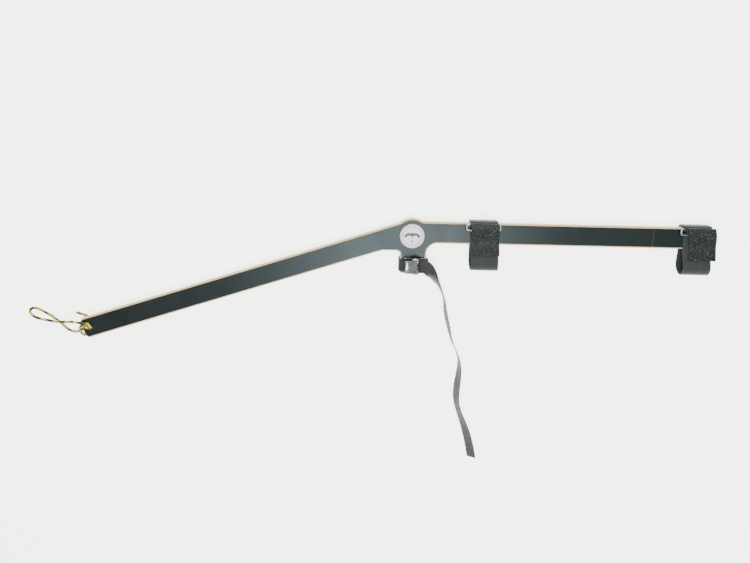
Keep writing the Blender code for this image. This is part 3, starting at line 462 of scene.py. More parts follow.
from_score = maths(film, "ABSOLUTE", maths(film, "SUBTRACT", film_axes.outputs["X"], SCORE_X))
score_mask = maths(film, "LESS_THAN", from_score, 0.0003)
on_front = maths(film, "GREATER_THAN", film_axes.outputs["Z"], 0.02)
score = maths(film, "MULTIPLY", score_mask, on_front)
scored = mixed(film, maths(film, "MULTIPLY", score, 0.3), scuffed, (0.20, 0.20, 0.19, 1))
film_height = maths(film, "MULTIPLY_ADD", peel, 0.5, maths(film, "MULTIPLY", veneer, 0.8))
film_bump = bumped(film, maths(film, "SUBTRACT", film_height, score), 0.22, 0.00009)
film_rough = maths(film, "MULTIPLY_ADD", cloud, 0.16, maths(film, "MULTIPLY_ADD", scuff_mask, 0.15, 0.27))
wire(film, film_shader, Base_Color=scored, Roughness=film_rough, Normal=film_bump)
for film_node in ("front_film", "back_film"):
    set_material(frame["nodes"][film_node], film)

# ---- Badge on the hub ------------------------------------------------------------------------------
# A printed vinyl disc with a clear domed skin, stuck over the hub's centre: a white ground, a ring of
# rosy ticks round its rim, and a dark figure of two bowed lines over a small drop.
disc, disc_shader = new_finish(
    "printed_vinyl", 0.45, Specular_IOR_Level=0.2, Coat_Weight=0.06, Coat_Roughness=0.3
)
disc_place = add_node(
    disc,
    "ShaderNodeSeparateXYZ",
    {"Vector": object_place(disc, location=tuple(HUB), scale=(0.001, 0.001, 0.001))},
)
disc_x, disc_y = disc_place.outputs["X"], disc_place.outputs["Y"]
out_from_centre = maths(
    disc, "SQRT", maths(disc, "ADD", maths(disc, "POWER", disc_x, 2.0), maths(disc, "POWER", disc_y, 2.0))
)
round_angle = maths(disc, "ARCTAN2", disc_y, disc_x)
tick_wave = maths(disc, "SINE", maths(disc, "MULTIPLY", round_angle, 46.0))
tick_on = maths(disc, "GREATER_THAN", tick_wave, -0.15)
in_ring = maths(disc, "COMPARE", out_from_centre, 16.0, 1.5)
tick_share = maths(disc, "MULTIPLY", tick_on, in_ring)
# Painted shade: a dark line just inside the badge's rim, where the dome meets the film.
rim_shade_line = maths(disc, "COMPARE", out_from_centre, 19.4, 0.35)
paper_grain = noise(disc, object_place(disc), 900.0, 3.0)
ground = ramp(disc, paper_grain, [(0.3, (0.80, 0.76, 0.78)), (0.7, (0.88, 0.85, 0.86))])
with_ticks = mixed(disc, maths(disc, "MULTIPLY", tick_share, 0.75), ground, (0.50, 0.14, 0.22, 1))
figure = None
for centre_x, centre_y, radius, width, low_x, high_x, low_y in (
    (-4.9, -4.4, 7.4, 2.1, -12.5, 0.6, -2.4),
    (4.9, -4.4, 7.4, 2.1, -0.6, 12.5, -2.4),
    (0.0, -1.0, 5.6, 0.9, -4.6, 4.6, 2.4),
):
    off_x = maths(disc, "POWER", maths(disc, "SUBTRACT", disc_x, centre_x), 2.0)
    off_y = maths(disc, "POWER", maths(disc, "SUBTRACT", disc_y, centre_y), 2.0)
    arc_here = maths(disc, "COMPARE", maths(disc, "SQRT", maths(disc, "ADD", off_x, off_y)), radius, width)
    above = maths(disc, "GREATER_THAN", disc_y, low_y)
    middle = (low_x + high_x) / 2
    inside = maths(disc, "COMPARE", disc_x, middle, (high_x - low_x) / 2)
    here = maths(disc, "MULTIPLY", maths(disc, "MULTIPLY", arc_here, above), inside)
    figure = here if figure is None else maths(disc, "MAXIMUM", figure, here)
drop = maths(
    disc,
    "SQRT",
    maths(
        disc,
        "ADD",
        maths(disc, "POWER", maths(disc, "MULTIPLY", disc_x, 1.5), 2.0),
        maths(disc, "POWER", maths(disc, "ADD", disc_y, 8.6), 2.0),
    ),
)
figure = maths(disc, "MAXIMUM", figure, maths(disc, "LESS_THAN", drop, 2.1))
printed = mixed(disc, maths(disc, "MULTIPLY", figure, 0.93), with_ticks, (0.020, 0.022, 0.024, 1))
rim_shaded = mixed(disc, maths(disc, "MULTIPLY", rim_shade_line, 0.8), printed, (0.10, 0.10, 0.11, 1))
wire(
    disc,
    disc_shader,
    Base_Color=rim_shaded,
    Normal=bumped(disc, maths(disc, "MULTIPLY_ADD", figure, 0.3, paper_grain), 0.12, 0.00006),
)
BADGE_EDGE = (
    (0.2, 25.32), (6.0, 25.315), (12.0, 25.30), (17.5, 25.27), (19.2, 25.2), (19.75, 25.08), (19.95, 24.9),
    (19.9, 24.72), (19.0, 24.71), (0.2, 24.71),
)
badge_angles = [2 * pi * k / 96 for k in range(96)]
badge_rings = [
    [tuple(from_hub(out * cos(a), out * sin(a), up)) for a in badge_angles] for out, up in BADGE_EDGE
]
badge = grid_piece("domed_badge", np.array(badge_rings), disc)
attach(badge, "bar")
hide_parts("badge_disc")

# ---- Cinch straps on the rear arm ------------------------------------------------------------------
# Each is 45 mm hook-and-loop strap, sewn round a welded wire ring behind the arm's upper edge. The band
# hangs open below the arm, comes up over the front, and its flap folds back through the ring.
STRAP_WIDTH = 0.045
STRAP_THICKNESS = 0.0018


def resample(path, spacing):
    steps = np.linalg.norm(np.diff(path, axis=0), axis=1)
    keep = np.concatenate([[True], steps > 1e-6])
    path = path[keep]
    travelled = travel(path)
    even = np.linspace(0, travelled[-1], max(3, round(travelled[-1] / spacing)) + 1)
    return np.column_stack([np.interp(even, travelled, column) for column in path.T])


def strip_rings(centres, across, width, thickness, ribs, rib_depth, wander):
    """Cross-sections of a woven strip: rounded edges, ribs along it and a slightly wandering edge."""
    tangents = directions_of(centres)
    normals = np.cross(tangents, across)
    normals = normals / np.linalg.norm(normals, axis=1)[:, None]
    face = np.linspace(-1, 1, ribs * 6 + 1)
    edge = np.radians(np.linspace(-90, 90, 7))[1:-1]
    half = thickness / 2
    shoulder = width / 2 - half
    crown = 1 - rib_depth / half * np.abs(np.sin(face * pi * ribs / 2)) ** 1.5
    lower = np.column_stack([face * shoulder, -half * crown])
    right = np.column_stack([shoulder + half * np.cos(edge), half * np.sin(edge)])
    upper = np.column_stack([face[::-1] * shoulder, half * crown[::-1]])
    left = np.column_stack([-shoulder - half * np.cos(edge[::-1]), half * np.sin(edge[::-1])])
    section = np.vstack([lower, right, upper, left])
    run = travel(centres)
    wandering = wander * (np.sin(run * 260) * 0.6 + np.sin(run * 97 + 1.3))
    rings = centres[:, None, :] + across[:, None, :] * (
        section[None, :, 0:1] * (1 + wandering[:, None, None] / width)
    )
    return rings + normals[:, None, :] * section[None, :, 1:2]


def eased(start, end, steps=12):
    share = np.linspace(0, 1, steps + 1)
    rise = share * share * (3 - 2 * share)
    return [
        (start[0] + (end[0] - start[0]) * s, start[1] + (end[1] - start[1]) * r)
        for s, r in zip(share, rise)
    ]


def turn_points(centre, radius, start, sweep, steps=12):
    return [
        (
            centre[0] + radius * cos(start + sweep * k / steps),
            centre[1] + radius * sin(start + sweep * k / steps),
        )
        for k in range(steps + 1)
    ]


def rounded(corners):
    """An open path through (y, z, radius) corners, each rounded with its radius."""
    points = [corners[0][:2]]
    for before, corner, after in zip(corners, corners[1:], corners[2:]):
        here = Vector(corner[:2])
        inward = (here - Vector(before[:2])).normalized()
        outward = (Vector(after[:2]) - here).normalized()
        angle = -inward.angle_signed(outward)
        side = 1 if angle > 0 else -1
        start = here - inward * corner[2] * tan(abs(angle) / 2)
        centre = start + Vector((-inward.y, inward.x)) * corner[2] * side
        points += turn_points(centre, corner[2], atan2(start.y - centre.y, start.x - centre.x), angle)
    return points + [corners[-1][:2]]


# Across the arm, in millimetres: y from the hub, then the height.
BAND_LINE = (
    [(7.7, 8.4)] + eased((-10.0, 8.4), (-39.5, 0.9)) + turn_points((-39.5, 16.5), 15.6, 1.5 * pi, -pi, 24)
    + eased((-39.5, 32.1), (-10.0, 25.8)) + turn_points((12.6, 28.8), 3.0, 1.5 * pi, pi / 2)
)
FLAP_LAID = np.array(eased((-39.5, 32.1), (-10.0, 25.8), 24))[::-1]
flap_steps = directions_of(FLAP_LAID)
flap_over = FLAP_LAID + np.column_stack([flap_steps[:, 1], -flap_steps[:, 0]]) * 2.1
FLAP_LINE = (
    [(15.6, 29.1)] + turn_points((17.8, 31.6), 2.2, pi, -pi / 2, 8)
    + turn_points((22.5, 35.4), 1.6, -pi / 2, pi, 12)
    + eased((20.5, 37.0), (-9.0, 27.9), 20) + [tuple(p) for p in flap_over if p[0] > -30.0]
)
TAB_LINE = (
    rounded([(8.0, 6.3, 0), (26.8, 6.3, 5.8), (26.8, 31.8, 4.5), (22.2, 31.8, 0)])
    + turn_points((22.2, 28.8), 3.0, pi / 2, pi)[1:-1]
    + rounded([(22.2, 25.8, 0), (24.7, 25.8, 2.4), (24.7, 8.4, 3.7), (8.0, 8.4, 0)])
)
RING_TOP_Y = 22.2

woven, strap_shader = new_finish(
    "loop_strap", 0.72, Specular_IOR_Level=0.3, Sheen_Weight=0.10, Sheen_Roughness=0.45
)
strap_uv = add_node(woven, "ShaderNodeUVMap", uv_map="UVMap").outputs["UV"]
strap_axes = add_node(woven, "ShaderNodeSeparateXYZ", {"Vector": strap_uv})
weft = maths(woven, "SINE", maths(woven, "MULTIPLY", strap_axes.outputs["Y"], 2 * pi * 7.5))
warp = maths(woven, "SINE", maths(woven, "MULTIPLY", strap_axes.outputs["X"], 2 * pi * 96))
plain_weave = maths(woven, "MULTIPLY", weft, warp)
strap_nap = noise(woven, object_place(woven), 700.0, 4.0)
strap_patch = noise(woven, object_place(woven), 60.0, 3.0)
strap_tone = ramp(
    woven,
    maths(woven, "MULTIPLY_ADD", plain_weave, 0.18, strap_nap),
    [(0.25, (0.007, 0.009, 0.009)), (0.8, (0.030, 0.036, 0.036))],
)
worn = mixed(woven, maths(woven, "MULTIPLY", strap_patch, 0.3), strap_tone, (0.045, 0.052, 0.052, 1))
strap_height = maths(
    woven, "MULTIPLY_ADD", plain_weave, 0.4, maths(woven, "MULTIPLY", strap_nap, 0.9)
)
wire(woven, strap_shader, Base_Color=worn, Normal=bumped(woven, strap_height, 0.6, 0.00022))

looped, pile_shader = new_finish(
    "hook_loop_face", 0.52, Specular_IOR_Level=0.25, Sheen_Weight=0.06, Sheen_Roughness=0.35
)
pile_place = object_place(looped)
pile = add_node(looped, "ShaderNodeTexVoronoi", {"Vector": pile_place, "Scale": 400.0}).outputs["Distance"]
pile_spread = noise(looped, pile_place, 130.0, 3.0)
# Painted highlight and shade: the pile is painted light on the tops of its bumps as painted glints, and dark
# between them as painted shade.
pile_glint_and_shade = ramp(looped, pile, [(0.06, (0.050, 0.058, 0.058)), (0.5, (0.004, 0.005, 0.0055))])
pile_faded_with_glints = mixed(
    looped, maths(looped, "MULTIPLY", pile_spread, 0.3), pile_glint_and_shade, (0.020, 0.0235, 0.024, 1)
)
wire(
    looped,
    pile_shader,
    Base_Color=pile_faded_with_glints,
    Normal=bumped(looped, maths(looped, "SUBTRACT", 1.0, pile), 0.8, 0.0004),
)

ring_wire, ring_shader = new_finish("nickel_wire", 0.3, metallic=1.0)
ring_scuff = noise(ring_wire, object_place(ring_wire), 380.0, 4.0)
wire(
    ring_wire,
    ring_shader,
    Base_Color=ramp(ring_wire, ring_scuff, [(0.35, (0.10, 0.11, 0.11)), (0.65, (0.42, 0.44, 0.435))]),
    Roughness=maths(ring_wire, "MULTIPLY_ADD", ring_scuff, 0.3, 0.18),
    Normal=bumped(ring_wire, ring_scuff, 0.15, 0.00008),
)

thread, thread_shader = new_finish("polyester_thread", 0.5, Sheen_Weight=0.3)
thread_twist = noise(thread, object_place(thread), 2600.0, 2.0)
wire(
    thread,
    thread_shader,
    Base_Color=ramp(thread, thread_twist, [(0.3, (0.015, 0.017, 0.017)), (0.7, (0.06, 0.066, 0.065))]),
    Normal=bumped(thread, thread_twist, 0.5, 0.0001),
)


def add_geometry(tree, kind, inputs=(), **settings):
    return new_node(tree, kind, inputs, settings).outputs


def new_tree(name, sockets):
    """A Geometry Nodes tree, the identifiers of its input sockets, and its inputs to be wired up."""
    tree = bpy.data.node_groups.new(name, "GeometryNodeTree")
    for way in ("INPUT", "OUTPUT"):
        tree.interface.new_socket("Geometry", in_out=way, socket_type="NodeSocketGeometry")
    names = {}
    for key, (label, kind, default) in sockets.items():
        made = tree.interface.new_socket(label, in_out="INPUT", socket_type="NodeSocket" + kind)
        made.default_value = default
        names[key] = made.identifier
    return tree, names, add_geometry(tree, "NodeGroupInput")


def times(tree, value, factor):
    return add_geometry(tree, "ShaderNodeMath", {0: value, 1: factor}, operation="MULTIPLY")[0]


def spot(tree, **place):
    return add_geometry(tree, "ShaderNodeCombineXYZ", place)[0]


def bent(tree, resolution, start, middle, end):
    inputs = {"Resolution": resolution, "Start": start, "Middle": middle, "End": end}
    return add_geometry(tree, "GeometryNodeCurveQuadraticBezier", inputs)["Curve"]


def round_bar(tree, curve, resolution, radius):
    inputs = {"Resolution": resolution, "Radius": radius}
    profile = add_geometry(tree, "GeometryNodeCurvePrimitiveCircle", inputs, mode="RADIUS")["Curve"]
    inputs = {"Curve": curve, "Profile Curve": profile, "Fill Caps": True}
    return add_geometry(tree, "GeometryNodeCurveToMesh", inputs)["Mesh"]


def set_out(tree, points, mesh, rotation):
    inputs = {"Points": points, "Instance": mesh, "Rotation": rotation}
    return add_geometry(tree, "GeometryNodeInstanceOnPoints", inputs)["Instances"]


def close_tree(tree, geometry, material):
    real = add_geometry(tree, "GeometryNodeRealizeInstances", {"Geometry": geometry})["Geometry"]
    inputs = {"Geometry": real, "Material": material}
    finished = add_geometry(tree, "GeometryNodeSetMaterial", inputs)["Geometry"]
    add_geometry(tree, "NodeGroupOutput", {"Geometry": finished})


def stitch_tree():
    """Stitches along a seam: a short bowed thread every pitch, turned along the seam."""
    sockets = {
        "pitch": ("Stitch pitch", "Float", 0.0028),
        "length": ("Stitch length", "Float", 0.0022),
        "thread": ("Thread radius", "Float", 0.00022),
        "finish": ("Thread", "Material", None),
    }
    tree, names, given = new_tree("stitch_seam", sockets)
    seam = add_geometry(tree, "GeometryNodeMeshToCurve", {"Mesh": given["Geometry"]})["Curve"]
    inputs = {"Curve": seam, "Length": given["Stitch pitch"]}
    spaced = add_geometry(tree, "GeometryNodeCurveToPoints", inputs, mode="LENGTH")
    half = times(tree, given["Stitch length"], 0.5)
    near_end = spot(tree, Z=times(tree, half, -1.0), X=-0.00012)
    far_end = spot(tree, Z=half, X=-0.00012)
    bow = bent(tree, 5, near_end, spot(tree, X=0.00022), far_end)
    strand = round_bar(tree, bow, 6, given["Thread radius"])
    close_tree(tree, set_out(tree, spaced["Points"], strand, spaced["Rotation"]), given["Thread"])
    return tree, names


def grown(name, host_mesh, tree, values):
    """Runs a Geometry Nodes tree on a mesh and returns the result as a plain mesh object."""
    host = linked(name + "_host", host_mesh)
    modifier = host.modifiers.new("grow", "NODES")
    modifier.node_group = tree
    for identifier, value in values.items():
        modifier[identifier] = value
    bpy.context.view_layer.update()
    graph = bpy.context.evaluated_depsgraph_get()
    mesh = bpy.data.meshes.new_from_object(host.evaluated_get(graph), depsgraph=graph)
    host.modifiers.remove(modifier)
    bpy.data.objects.remove(host)
    mesh.name = name
    face_outward(mesh)
    mesh.shade_smooth()
    return linked(name, mesh)


def seam_mesh(name, runs):
    """Open lines of vertices, one for each run of stitching."""
    vertices = []
    edges = []
    for run in runs:
        first = len(vertices)
        vertices += [tuple(point) for point in run]
        edges += [(first + k, first + k + 1) for k in range(len(run) - 1)]
    mesh = bpy.data.meshes.new(name)
    mesh.from_pydata(vertices, edges, [])
    return mesh


seam_tree, seam_inputs = stitch_tree()


def pile_tree():
    """Nylon hooks scattered over the face of a hook strip: a bent wire on every random point."""
    sockets = {
        "density": ("Hooks per square metre", "Float", 900000.0),
        "height": ("Hook height", "Float", 0.0011),
        "wire": ("Wire radius", "Float", 0.00013),
        "seed": ("Seed", "Int", 5),
        "finish": ("Hook nylon", "Material", None),
    }
    tree, names, given = new_tree("hook_pile", sockets)
    inputs = {
        "Mesh": given["Geometry"],
        "Density": given["Hooks per square metre"],
        "Seed": given["Seed"],
    }
    scatter = add_geometry(tree, "GeometryNodeDistributePointsOnFaces", inputs)
    tall = given["Hook height"]
    side = times(tree, tall, 0.75)
    over = spot(tree, Z=tall, X=side)
    tip = spot(tree, Z=times(tree, tall, 0.35), X=side)
    hook = round_bar(tree, bent(tree, 4, spot(tree, Z=-0.0002), over, tip), 3, given["Wire radius"])
    inputs = {2: 0.0, 3: 6.283, "Seed": given["Seed"]}
    spin = add_geometry(tree, "FunctionNodeRandomValue", inputs, data_type="FLOAT")[1]
    inputs = {"Rotation": scatter["Rotation"], "Rotate By": spot(tree, Z=spin)}
    turned = add_geometry(tree, "FunctionNodeRotateRotation", inputs, rotation_space="LOCAL")["Rotation"]
    close_tree(tree, set_out(tree, scatter["Points"], hook, turned), given["Hook nylon"])
    return tree, names


hook_tree, hook_inputs = pile_tree()

nylon, nylon_shader = new_finish("hook_nylon", 0.4, Specular_IOR_Level=0.35)
nylon_glint_and_relief = noise(nylon, object_place(nylon), 420.0, 2.0)
wire(
    nylon,
    nylon_shader,
    # Painted glints: patches of hooks are painted much lighter than the black nylon, standing in for glints.
    Base_Color=ramp(nylon, nylon_glint_and_relief, [(0.42, (0.006, 0.0075, 0.008)), (0.68, (0.20, 0.225, 0.225))]),
    Normal=bumped(nylon, nylon_glint_and_relief, 0.2, 0.00005),
)


def strap_piece(name, line, middle_x, lean, shift, material):
    path = resample(np.array(line, float) / 1000, 0.0009)
    travelled = travel(path)
    bow = shift / 1000 * np.sin(travelled / travelled[-1] * 2.2)
    x = middle_x / 1000 + lean * (RING_TOP_Y / 1000 - path[:, 0]) + bow
    centres = np.column_stack([x + HUB.x, path[:, 0] + HUB.y, path[:, 1]])
    across = np.repeat([[1.0, 0.0, 0.0]], len(centres), axis=0)
    rings = strip_rings(
        centres, across, STRAP_WIDTH, STRAP_THICKNESS, ribs=10, rib_depth=0.00007, wander=0.00018
    )
    return grid_piece(name, rings, material), centres


def wire_ring(name, middle_x):
    """Rectangular ring of 3.6 mm wire, with the weld's bead in the middle of its lower bar."""
    half_length, half_width, corner, radius = 27.2, 4.8, 3.4, 1.8
    middle_y, height, half_weld = 17.4, 28.8, 1.5
    line = []
    for quarter, (sx, sy) in enumerate(((1, 1), (-1, 1), (-1, -1), (1, -1))):
        centre = (middle_x + sx * (half_length - corner), middle_y + sy * (half_width - corner))
        line += turn_points(centre, corner, quarter * pi / 2, pi / 2, 8)
        if quarter == 2:
            line += [(middle_x + offset, middle_y - half_width) for offset in np.linspace(-1.6, 1.6, 13)]
    line = np.array(line)
    ahead = np.roll(line, -1, axis=0) - np.roll(line, 1, axis=0)
    ahead /= np.linalg.norm(ahead, axis=1)[:, None]
    outward = np.column_stack([ahead[:, 1], -ahead[:, 0]])
    from_weld = line[:, 0] - middle_x
    on_weld = (np.abs(from_weld) < half_weld) & (line[:, 1] < middle_y)
    weld = np.where(on_weld, 0.16 * np.cos(from_weld / half_weld * pi / 2), 0)
    angles = np.linspace(0, 2 * pi, 20, endpoint=False)
    vertices = []
    for point, out, bead in zip(line, outward, weld):
        for angle in angles:
            size = radius + bead * 0.6
            place = point + out * cos(angle) * size
            vertices.append(from_hub(place[0], place[1], height + min(sin(angle) * size, 1.7)))
    count, around = len(line), len(angles)
    faces = []
    for i in range(count):
        for j in range(around):
            k = (j + 1) % around
            n = (i + 1) % count
            faces.append((i * around + j, n * around + j, n * around + k, i * around + k))
    mesh = bpy.data.meshes.new(name)
    mesh.from_pydata(vertices, [], faces)
    face_outward(mesh)
    mesh.shade_smooth()
    mesh.materials.append(ring_wire)
    return linked(name, mesh)


for side_name, middle_x, ring_shift, lean, shift, seed in (
    ("front_cinch", 116.1, -1.7, 0.06, 2.0, 5),
    ("rear_cinch", 464.0, -3.0, 0.09, 9.0, 11),
):
    start_x = middle_x - shift / 2
    band, _ = strap_piece(side_name + "_strap", BAND_LINE, start_x, lean, 0, woven)
    tab, tab_line = strap_piece(side_name + "_sewn_end", TAB_LINE, start_x, 0, 0, woven)
    flap, flap_line = strap_piece(side_name + "_folded_flap", FLAP_LINE, start_x, lean, shift, looped)
    ring = wire_ring(side_name + "_wire_ring", middle_x + ring_shift)
    # Two rows of stitches hold the sewn end on the back, and one row closes it round the ring.
    back = tab_line[tab_line[:, 2] < 0.0071]
    rows = []
    for share in (0.12, 0.35, 0.85):
        y_here = back[0, 1] + (back[:, 1].max() - back[0, 1] - 0.006) * share
        rows.append([(x, y_here, 0.0054) for x in start_x / 1000 + HUB.x + np.linspace(-0.0195, 0.0195, 30)])
    seam = grown(
        side_name + "_stitches",
        seam_mesh(side_name + "_seam", rows),
        seam_tree,
        {seam_inputs["finish"]: thread},
    )
    # The flap's outer face is the hook side: its nylon hooks catch the light.
    laid = flap_line[flap_line[:, 2] > 0.0272]
    top = laid[np.argmax(laid[:, 2]) + 1 :]
    face_vertices = []
    for point, step in zip(top, directions_of(top)):
        normal = np.cross(step, (1.0, 0.0, 0.0))
        normal = normal if normal[2] > 0 else -normal
        for offset in (-0.0208, 0.0208):
            face_vertices.append(tuple(point + normal * 0.00082 + np.array((offset, 0, 0))))
    face_faces = [(2 * k, 2 * k + 1, 2 * k + 3, 2 * k + 2) for k in range(len(top) - 1)]
    hook_face = bpy.data.meshes.new(side_name + "_hook_face")
    hook_face.from_pydata(face_vertices, [], face_faces)
    hook_face.update()
    if hook_face.polygons[0].normal.z < 0:
        hook_face.flip_normals()
    hooks = grown(
        side_name + "_hooks",
        hook_face,
        hook_tree,
        {
            hook_inputs["finish"]: nylon,
            hook_inputs["seed"]: seed,
            hook_inputs["density"]: 420000.0,
            hook_inputs["height"]: 0.0013,
            hook_inputs["wire"]: 0.00024,
        },
    )
    for piece, node, slot in (
        (band, "_band", "cinch_strap"),
        (tab, "_tab", "cinch_strap"),
        (flap, "_flap", "cinch_flap"),
        (ring, "_ring", "ring_metal"),
    ):
        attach(piece, side_name)
        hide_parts(side_name + node)
    for piece in (seam, hooks):
        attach(piece, side_name)

# ---- Cam buckle on the foot ------------------------------------------------------------------------
# Pressed steel frame with two cheeks, a die-cast cam with its thumb lever on a riveted pin, and a torsion
# spring between them. The frame, the cam and the pin are nickel plate, scuffed in use; their colour is
# painted dark as a painted reflection of a dark surround, with lighter blotches as painted glints.
nickel, nickel_shader = new_finish("nickel_plate", 0.2, metallic=1.0)
nickel_place = object_place(nickel)
rub_wear_and_glint = noise(nickel, nickel_place, 560.0, 5.0, 0.6)
brushed = noise(nickel, object_place(nickel, scale=(0.008, 0.0003, 0.0003)), 1.0, 3.0)
wire(
    nickel,
    nickel_shader,
    # Painted reflection: the base colour is dark for a dark surround, with lighter blotches as painted
    # glints.
    Base_Color=ramp(nickel, rub_wear_and_glint, [(0.34, (0.07, 0.078, 0.077)), (0.66, (0.34, 0.355, 0.35))]),
    Roughness=maths(nickel, "MULTIPLY_ADD", brushed, 0.22, maths(nickel, "MULTIPLY_ADD", rub_wear_and_glint, 0.2, 0.06)),
    Normal=bumped(nickel, maths(nickel, "MULTIPLY_ADD", rub_wear_and_glint, 0.5, brushed), 0.2, 0.00006),
)


def eased_edges(name, node, rounding, material):
    """The CAD piece with its facets merged and its edges rounded, as pressing and plating leave them."""
    shape = bmesh.new()
    shape.from_mesh(frame["nodes"][node].data)
    bmesh.ops.remove_doubles(shape, verts=shape.verts, dist=0.000002)
    bmesh.ops.dissolve_limit(shape, angle_limit=radians(1.0), verts=shape.verts, edges=shape.edges)
    sharp = [
        edge for edge in shape.edges if len(edge.link_faces) == 2 and edge.calc_face_angle(0) > radians(38)
    ]
    bmesh.ops.bevel(
        shape, geom=sharp, offset=rounding, segments=2, profile=0.5, affect="EDGES", clamp_overlap=True
    )
    bmesh.ops.triangulate(shape, faces=[face for face in shape.faces if len(face.verts) > 4])
    bmesh.ops.recalc_face_normals(shape, faces=shape.faces)
    mesh = bpy.data.meshes.new(name)
    shape.to_mesh(mesh)
    shape.free()
    mesh.shade_smooth()
    mesh.set_sharp_from_angle(angle=radians(30))
    mesh.materials.append(material)
    return linked(name, mesh)


pin_low, pin_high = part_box("cam_pin")
PIN = (pin_low + pin_high) / 2
buckle_frame = eased_edges("pressed_frame", "buckle_frame", 0.00028, nickel)
cam_lever = eased_edges("cast_lever", "cam_lever", 0.0003, nickel)
rivet = eased_edges("rivet_pin", "cam_pin", 0.0001, nickel)
for piece, node, body in (
    (buckle_frame, "buckle_frame", "bar"),
    (cam_lever, "cam_lever", "lever"),
    (rivet, "cam_pin", "bar"),
):
    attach(piece, body)
    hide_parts(node)


def teeth_tree():
    """Cam teeth: thin ridges along the drum, repeated round it."""
    sockets = {
        "width": ("Tooth base", "Float", 0.0009),
        "finish": ("Plating", "Material", None),
    }
    tree, names, given = new_tree("cam_teeth", sockets)
    lines = add_geometry(tree, "GeometryNodeMeshToCurve", {"Mesh": given["Geometry"]})["Curve"]
    close_tree(tree, round_bar(tree, lines, 6, given["Tooth base"]), given["Plating"])
    return tree, names


tooth_tree, tooth_inputs = teeth_tree()
CAM_RADIUS = 0.0062
CAM_FALL = 0.0016 * 0.8
TOOTH_SINK = 0.0003
tooth_lines = []
for angle in np.radians(np.arange(-64, 50, 11.5)):
    late = max(0.0, (degrees(angle) + 50) / 125)
    reach = CAM_RADIUS - CAM_FALL * late - TOOTH_SINK
    for low, high in ((-0.0102, -0.0046), (0.0046, 0.0102)):
        tooth_lines.append(
            [(PIN.x + reach * cos(angle), PIN.y + y, PIN.z + reach * sin(angle)) for y in (low, high)]
        )
cam_teeth = grown(
    "cam_teeth",
    seam_mesh("tooth_lines", tooth_lines),
    tooth_tree,
    {tooth_inputs["width"]: 0.00045, tooth_inputs["finish"]: nickel},
)
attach(cam_teeth, "lever")

# Music wire, three and a half turns round the pin, with a leg on the frame and a leg under the lever.
spring_wire, spring_shader = new_finish("music_wire", 0.3, metallic=1.0)
wire_draw = noise(spring_wire, object_place(spring_wire), 1500.0, 3.0)
wire(
    spring_wire,
    spring_shader,
    Base_Color=ramp(spring_wire, wire_draw, [(0.3, (0.30, 0.30, 0.31)), (0.7, (0.48, 0.48, 0.49))]),
    Normal=bumped(spring_wire, wire_draw, 0.2, 0.00004),
)
coil_radius = 0.00275
coil_half_length = 0.0024
COIL_STEPS_PER_TURN = 32
COIL_STEPS = 112
coil = [(PIN.x + 0.0056, PIN.y - coil_half_length, PIN.z - coil_radius)]
for step in range(COIL_STEPS + 1):
    angle = -pi / 2 - 2 * pi * step / COIL_STEPS_PER_TURN
    y = PIN.y - coil_half_length + 2 * coil_half_length * step / COIL_STEPS
    coil.append((PIN.x + coil_radius * cos(angle), y, PIN.z + coil_radius * sin(angle)))
coil.append((PIN.x + 0.0031, PIN.y + coil_half_length, PIN.z + coil_radius))
coil_line = np.array(coil)
coil_tangents = directions_of(coil_line)
coil_side = np.cross(coil_tangents, (0.0, 1.0, 0.0))
coil_side /= np.linalg.norm(coil_side, axis=1)[:, None]
coil_up = np.cross(coil_tangents, coil_side)
coil_angles = np.linspace(0, 2 * pi, 10, endpoint=False)
coil_rings = coil_line[:, None, :] + 0.00045 * (
    np.cos(coil_angles)[None, :, None] * coil_side[:, None, :]
    + np.sin(coil_angles)[None, :, None] * coil_up[:, None, :]
)
spring = grid_piece("torsion_spring", coil_rings, spring_wire)
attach(spring, "bar")
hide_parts("cam_spring")

# ---- Webbing of the foot ---------------------------------------------------------------------------
# 20 mm black polypropylene webbing, 1.5 mm thick, in a flat twill with a firm selvedge. It is sewn round
# the buckle's bar, runs behind the foot and back under the cam, and ends in a long free tail.
WEBBING_WIDTH = 0.020
WEBBING_THICKNESS = 0.0015
webbing, webbing_shader = new_finish(
    "polypropylene_webbing", 0.55, Specular_IOR_Level=0.3, Sheen_Weight=0.08, Sheen_Roughness=0.4
)
web_map = add_node(webbing, "ShaderNodeUVMap", uv_map="UVMap").outputs["UV"]
web_uv = add_node(webbing, "ShaderNodeSeparateXYZ", {"Vector": web_map})
picks = maths(webbing, "MULTIPLY", web_uv.outputs["Y"], 6.2)
ends = maths(webbing, "MULTIPLY", web_uv.outputs["X"], 44.0)
herringbone = maths(webbing, "PINGPONG", ends, 5.5)
twill_turns = maths(webbing, "ADD", picks, maths(webbing, "MULTIPLY", herringbone, 0.5))
twill = maths(webbing, "SINE", maths(webbing, "MULTIPLY", twill_turns, 2 * pi))
end_wave = maths(webbing, "SINE", maths(webbing, "MULTIPLY", ends, 2 * pi))
web_fibre = noise(webbing, object_place(webbing), 1100.0, 3.0)
web_patch = noise(webbing, object_place(webbing), 45.0, 3.0)
web_relief = maths(
    webbing, "MULTIPLY_ADD", twill, 0.5, maths(webbing, "MULTIPLY_ADD", end_wave, 0.25, web_fibre)
)
web_tone = ramp(
    webbing,
    maths(webbing, "MULTIPLY_ADD", twill, 0.2, web_fibre),
    [(0.2, (0.003, 0.0038, 0.0034)), (0.8, (0.022, 0.0255, 0.0232))],
)
web_colour = mixed(webbing, maths(webbing, "MULTIPLY", web_patch, 0.3), web_tone, (0.026, 0.030, 0.027, 1))
wire(webbing, webbing_shader, Base_Color=web_colour, Normal=bumped(webbing, web_relief, 0.55, 0.00022))


def webbing_rings(line, across):
    return strip_rings(
        line, across, WEBBING_WIDTH, WEBBING_THICKNESS, ribs=8, rib_depth=0.00009, wander=0.00008
    )


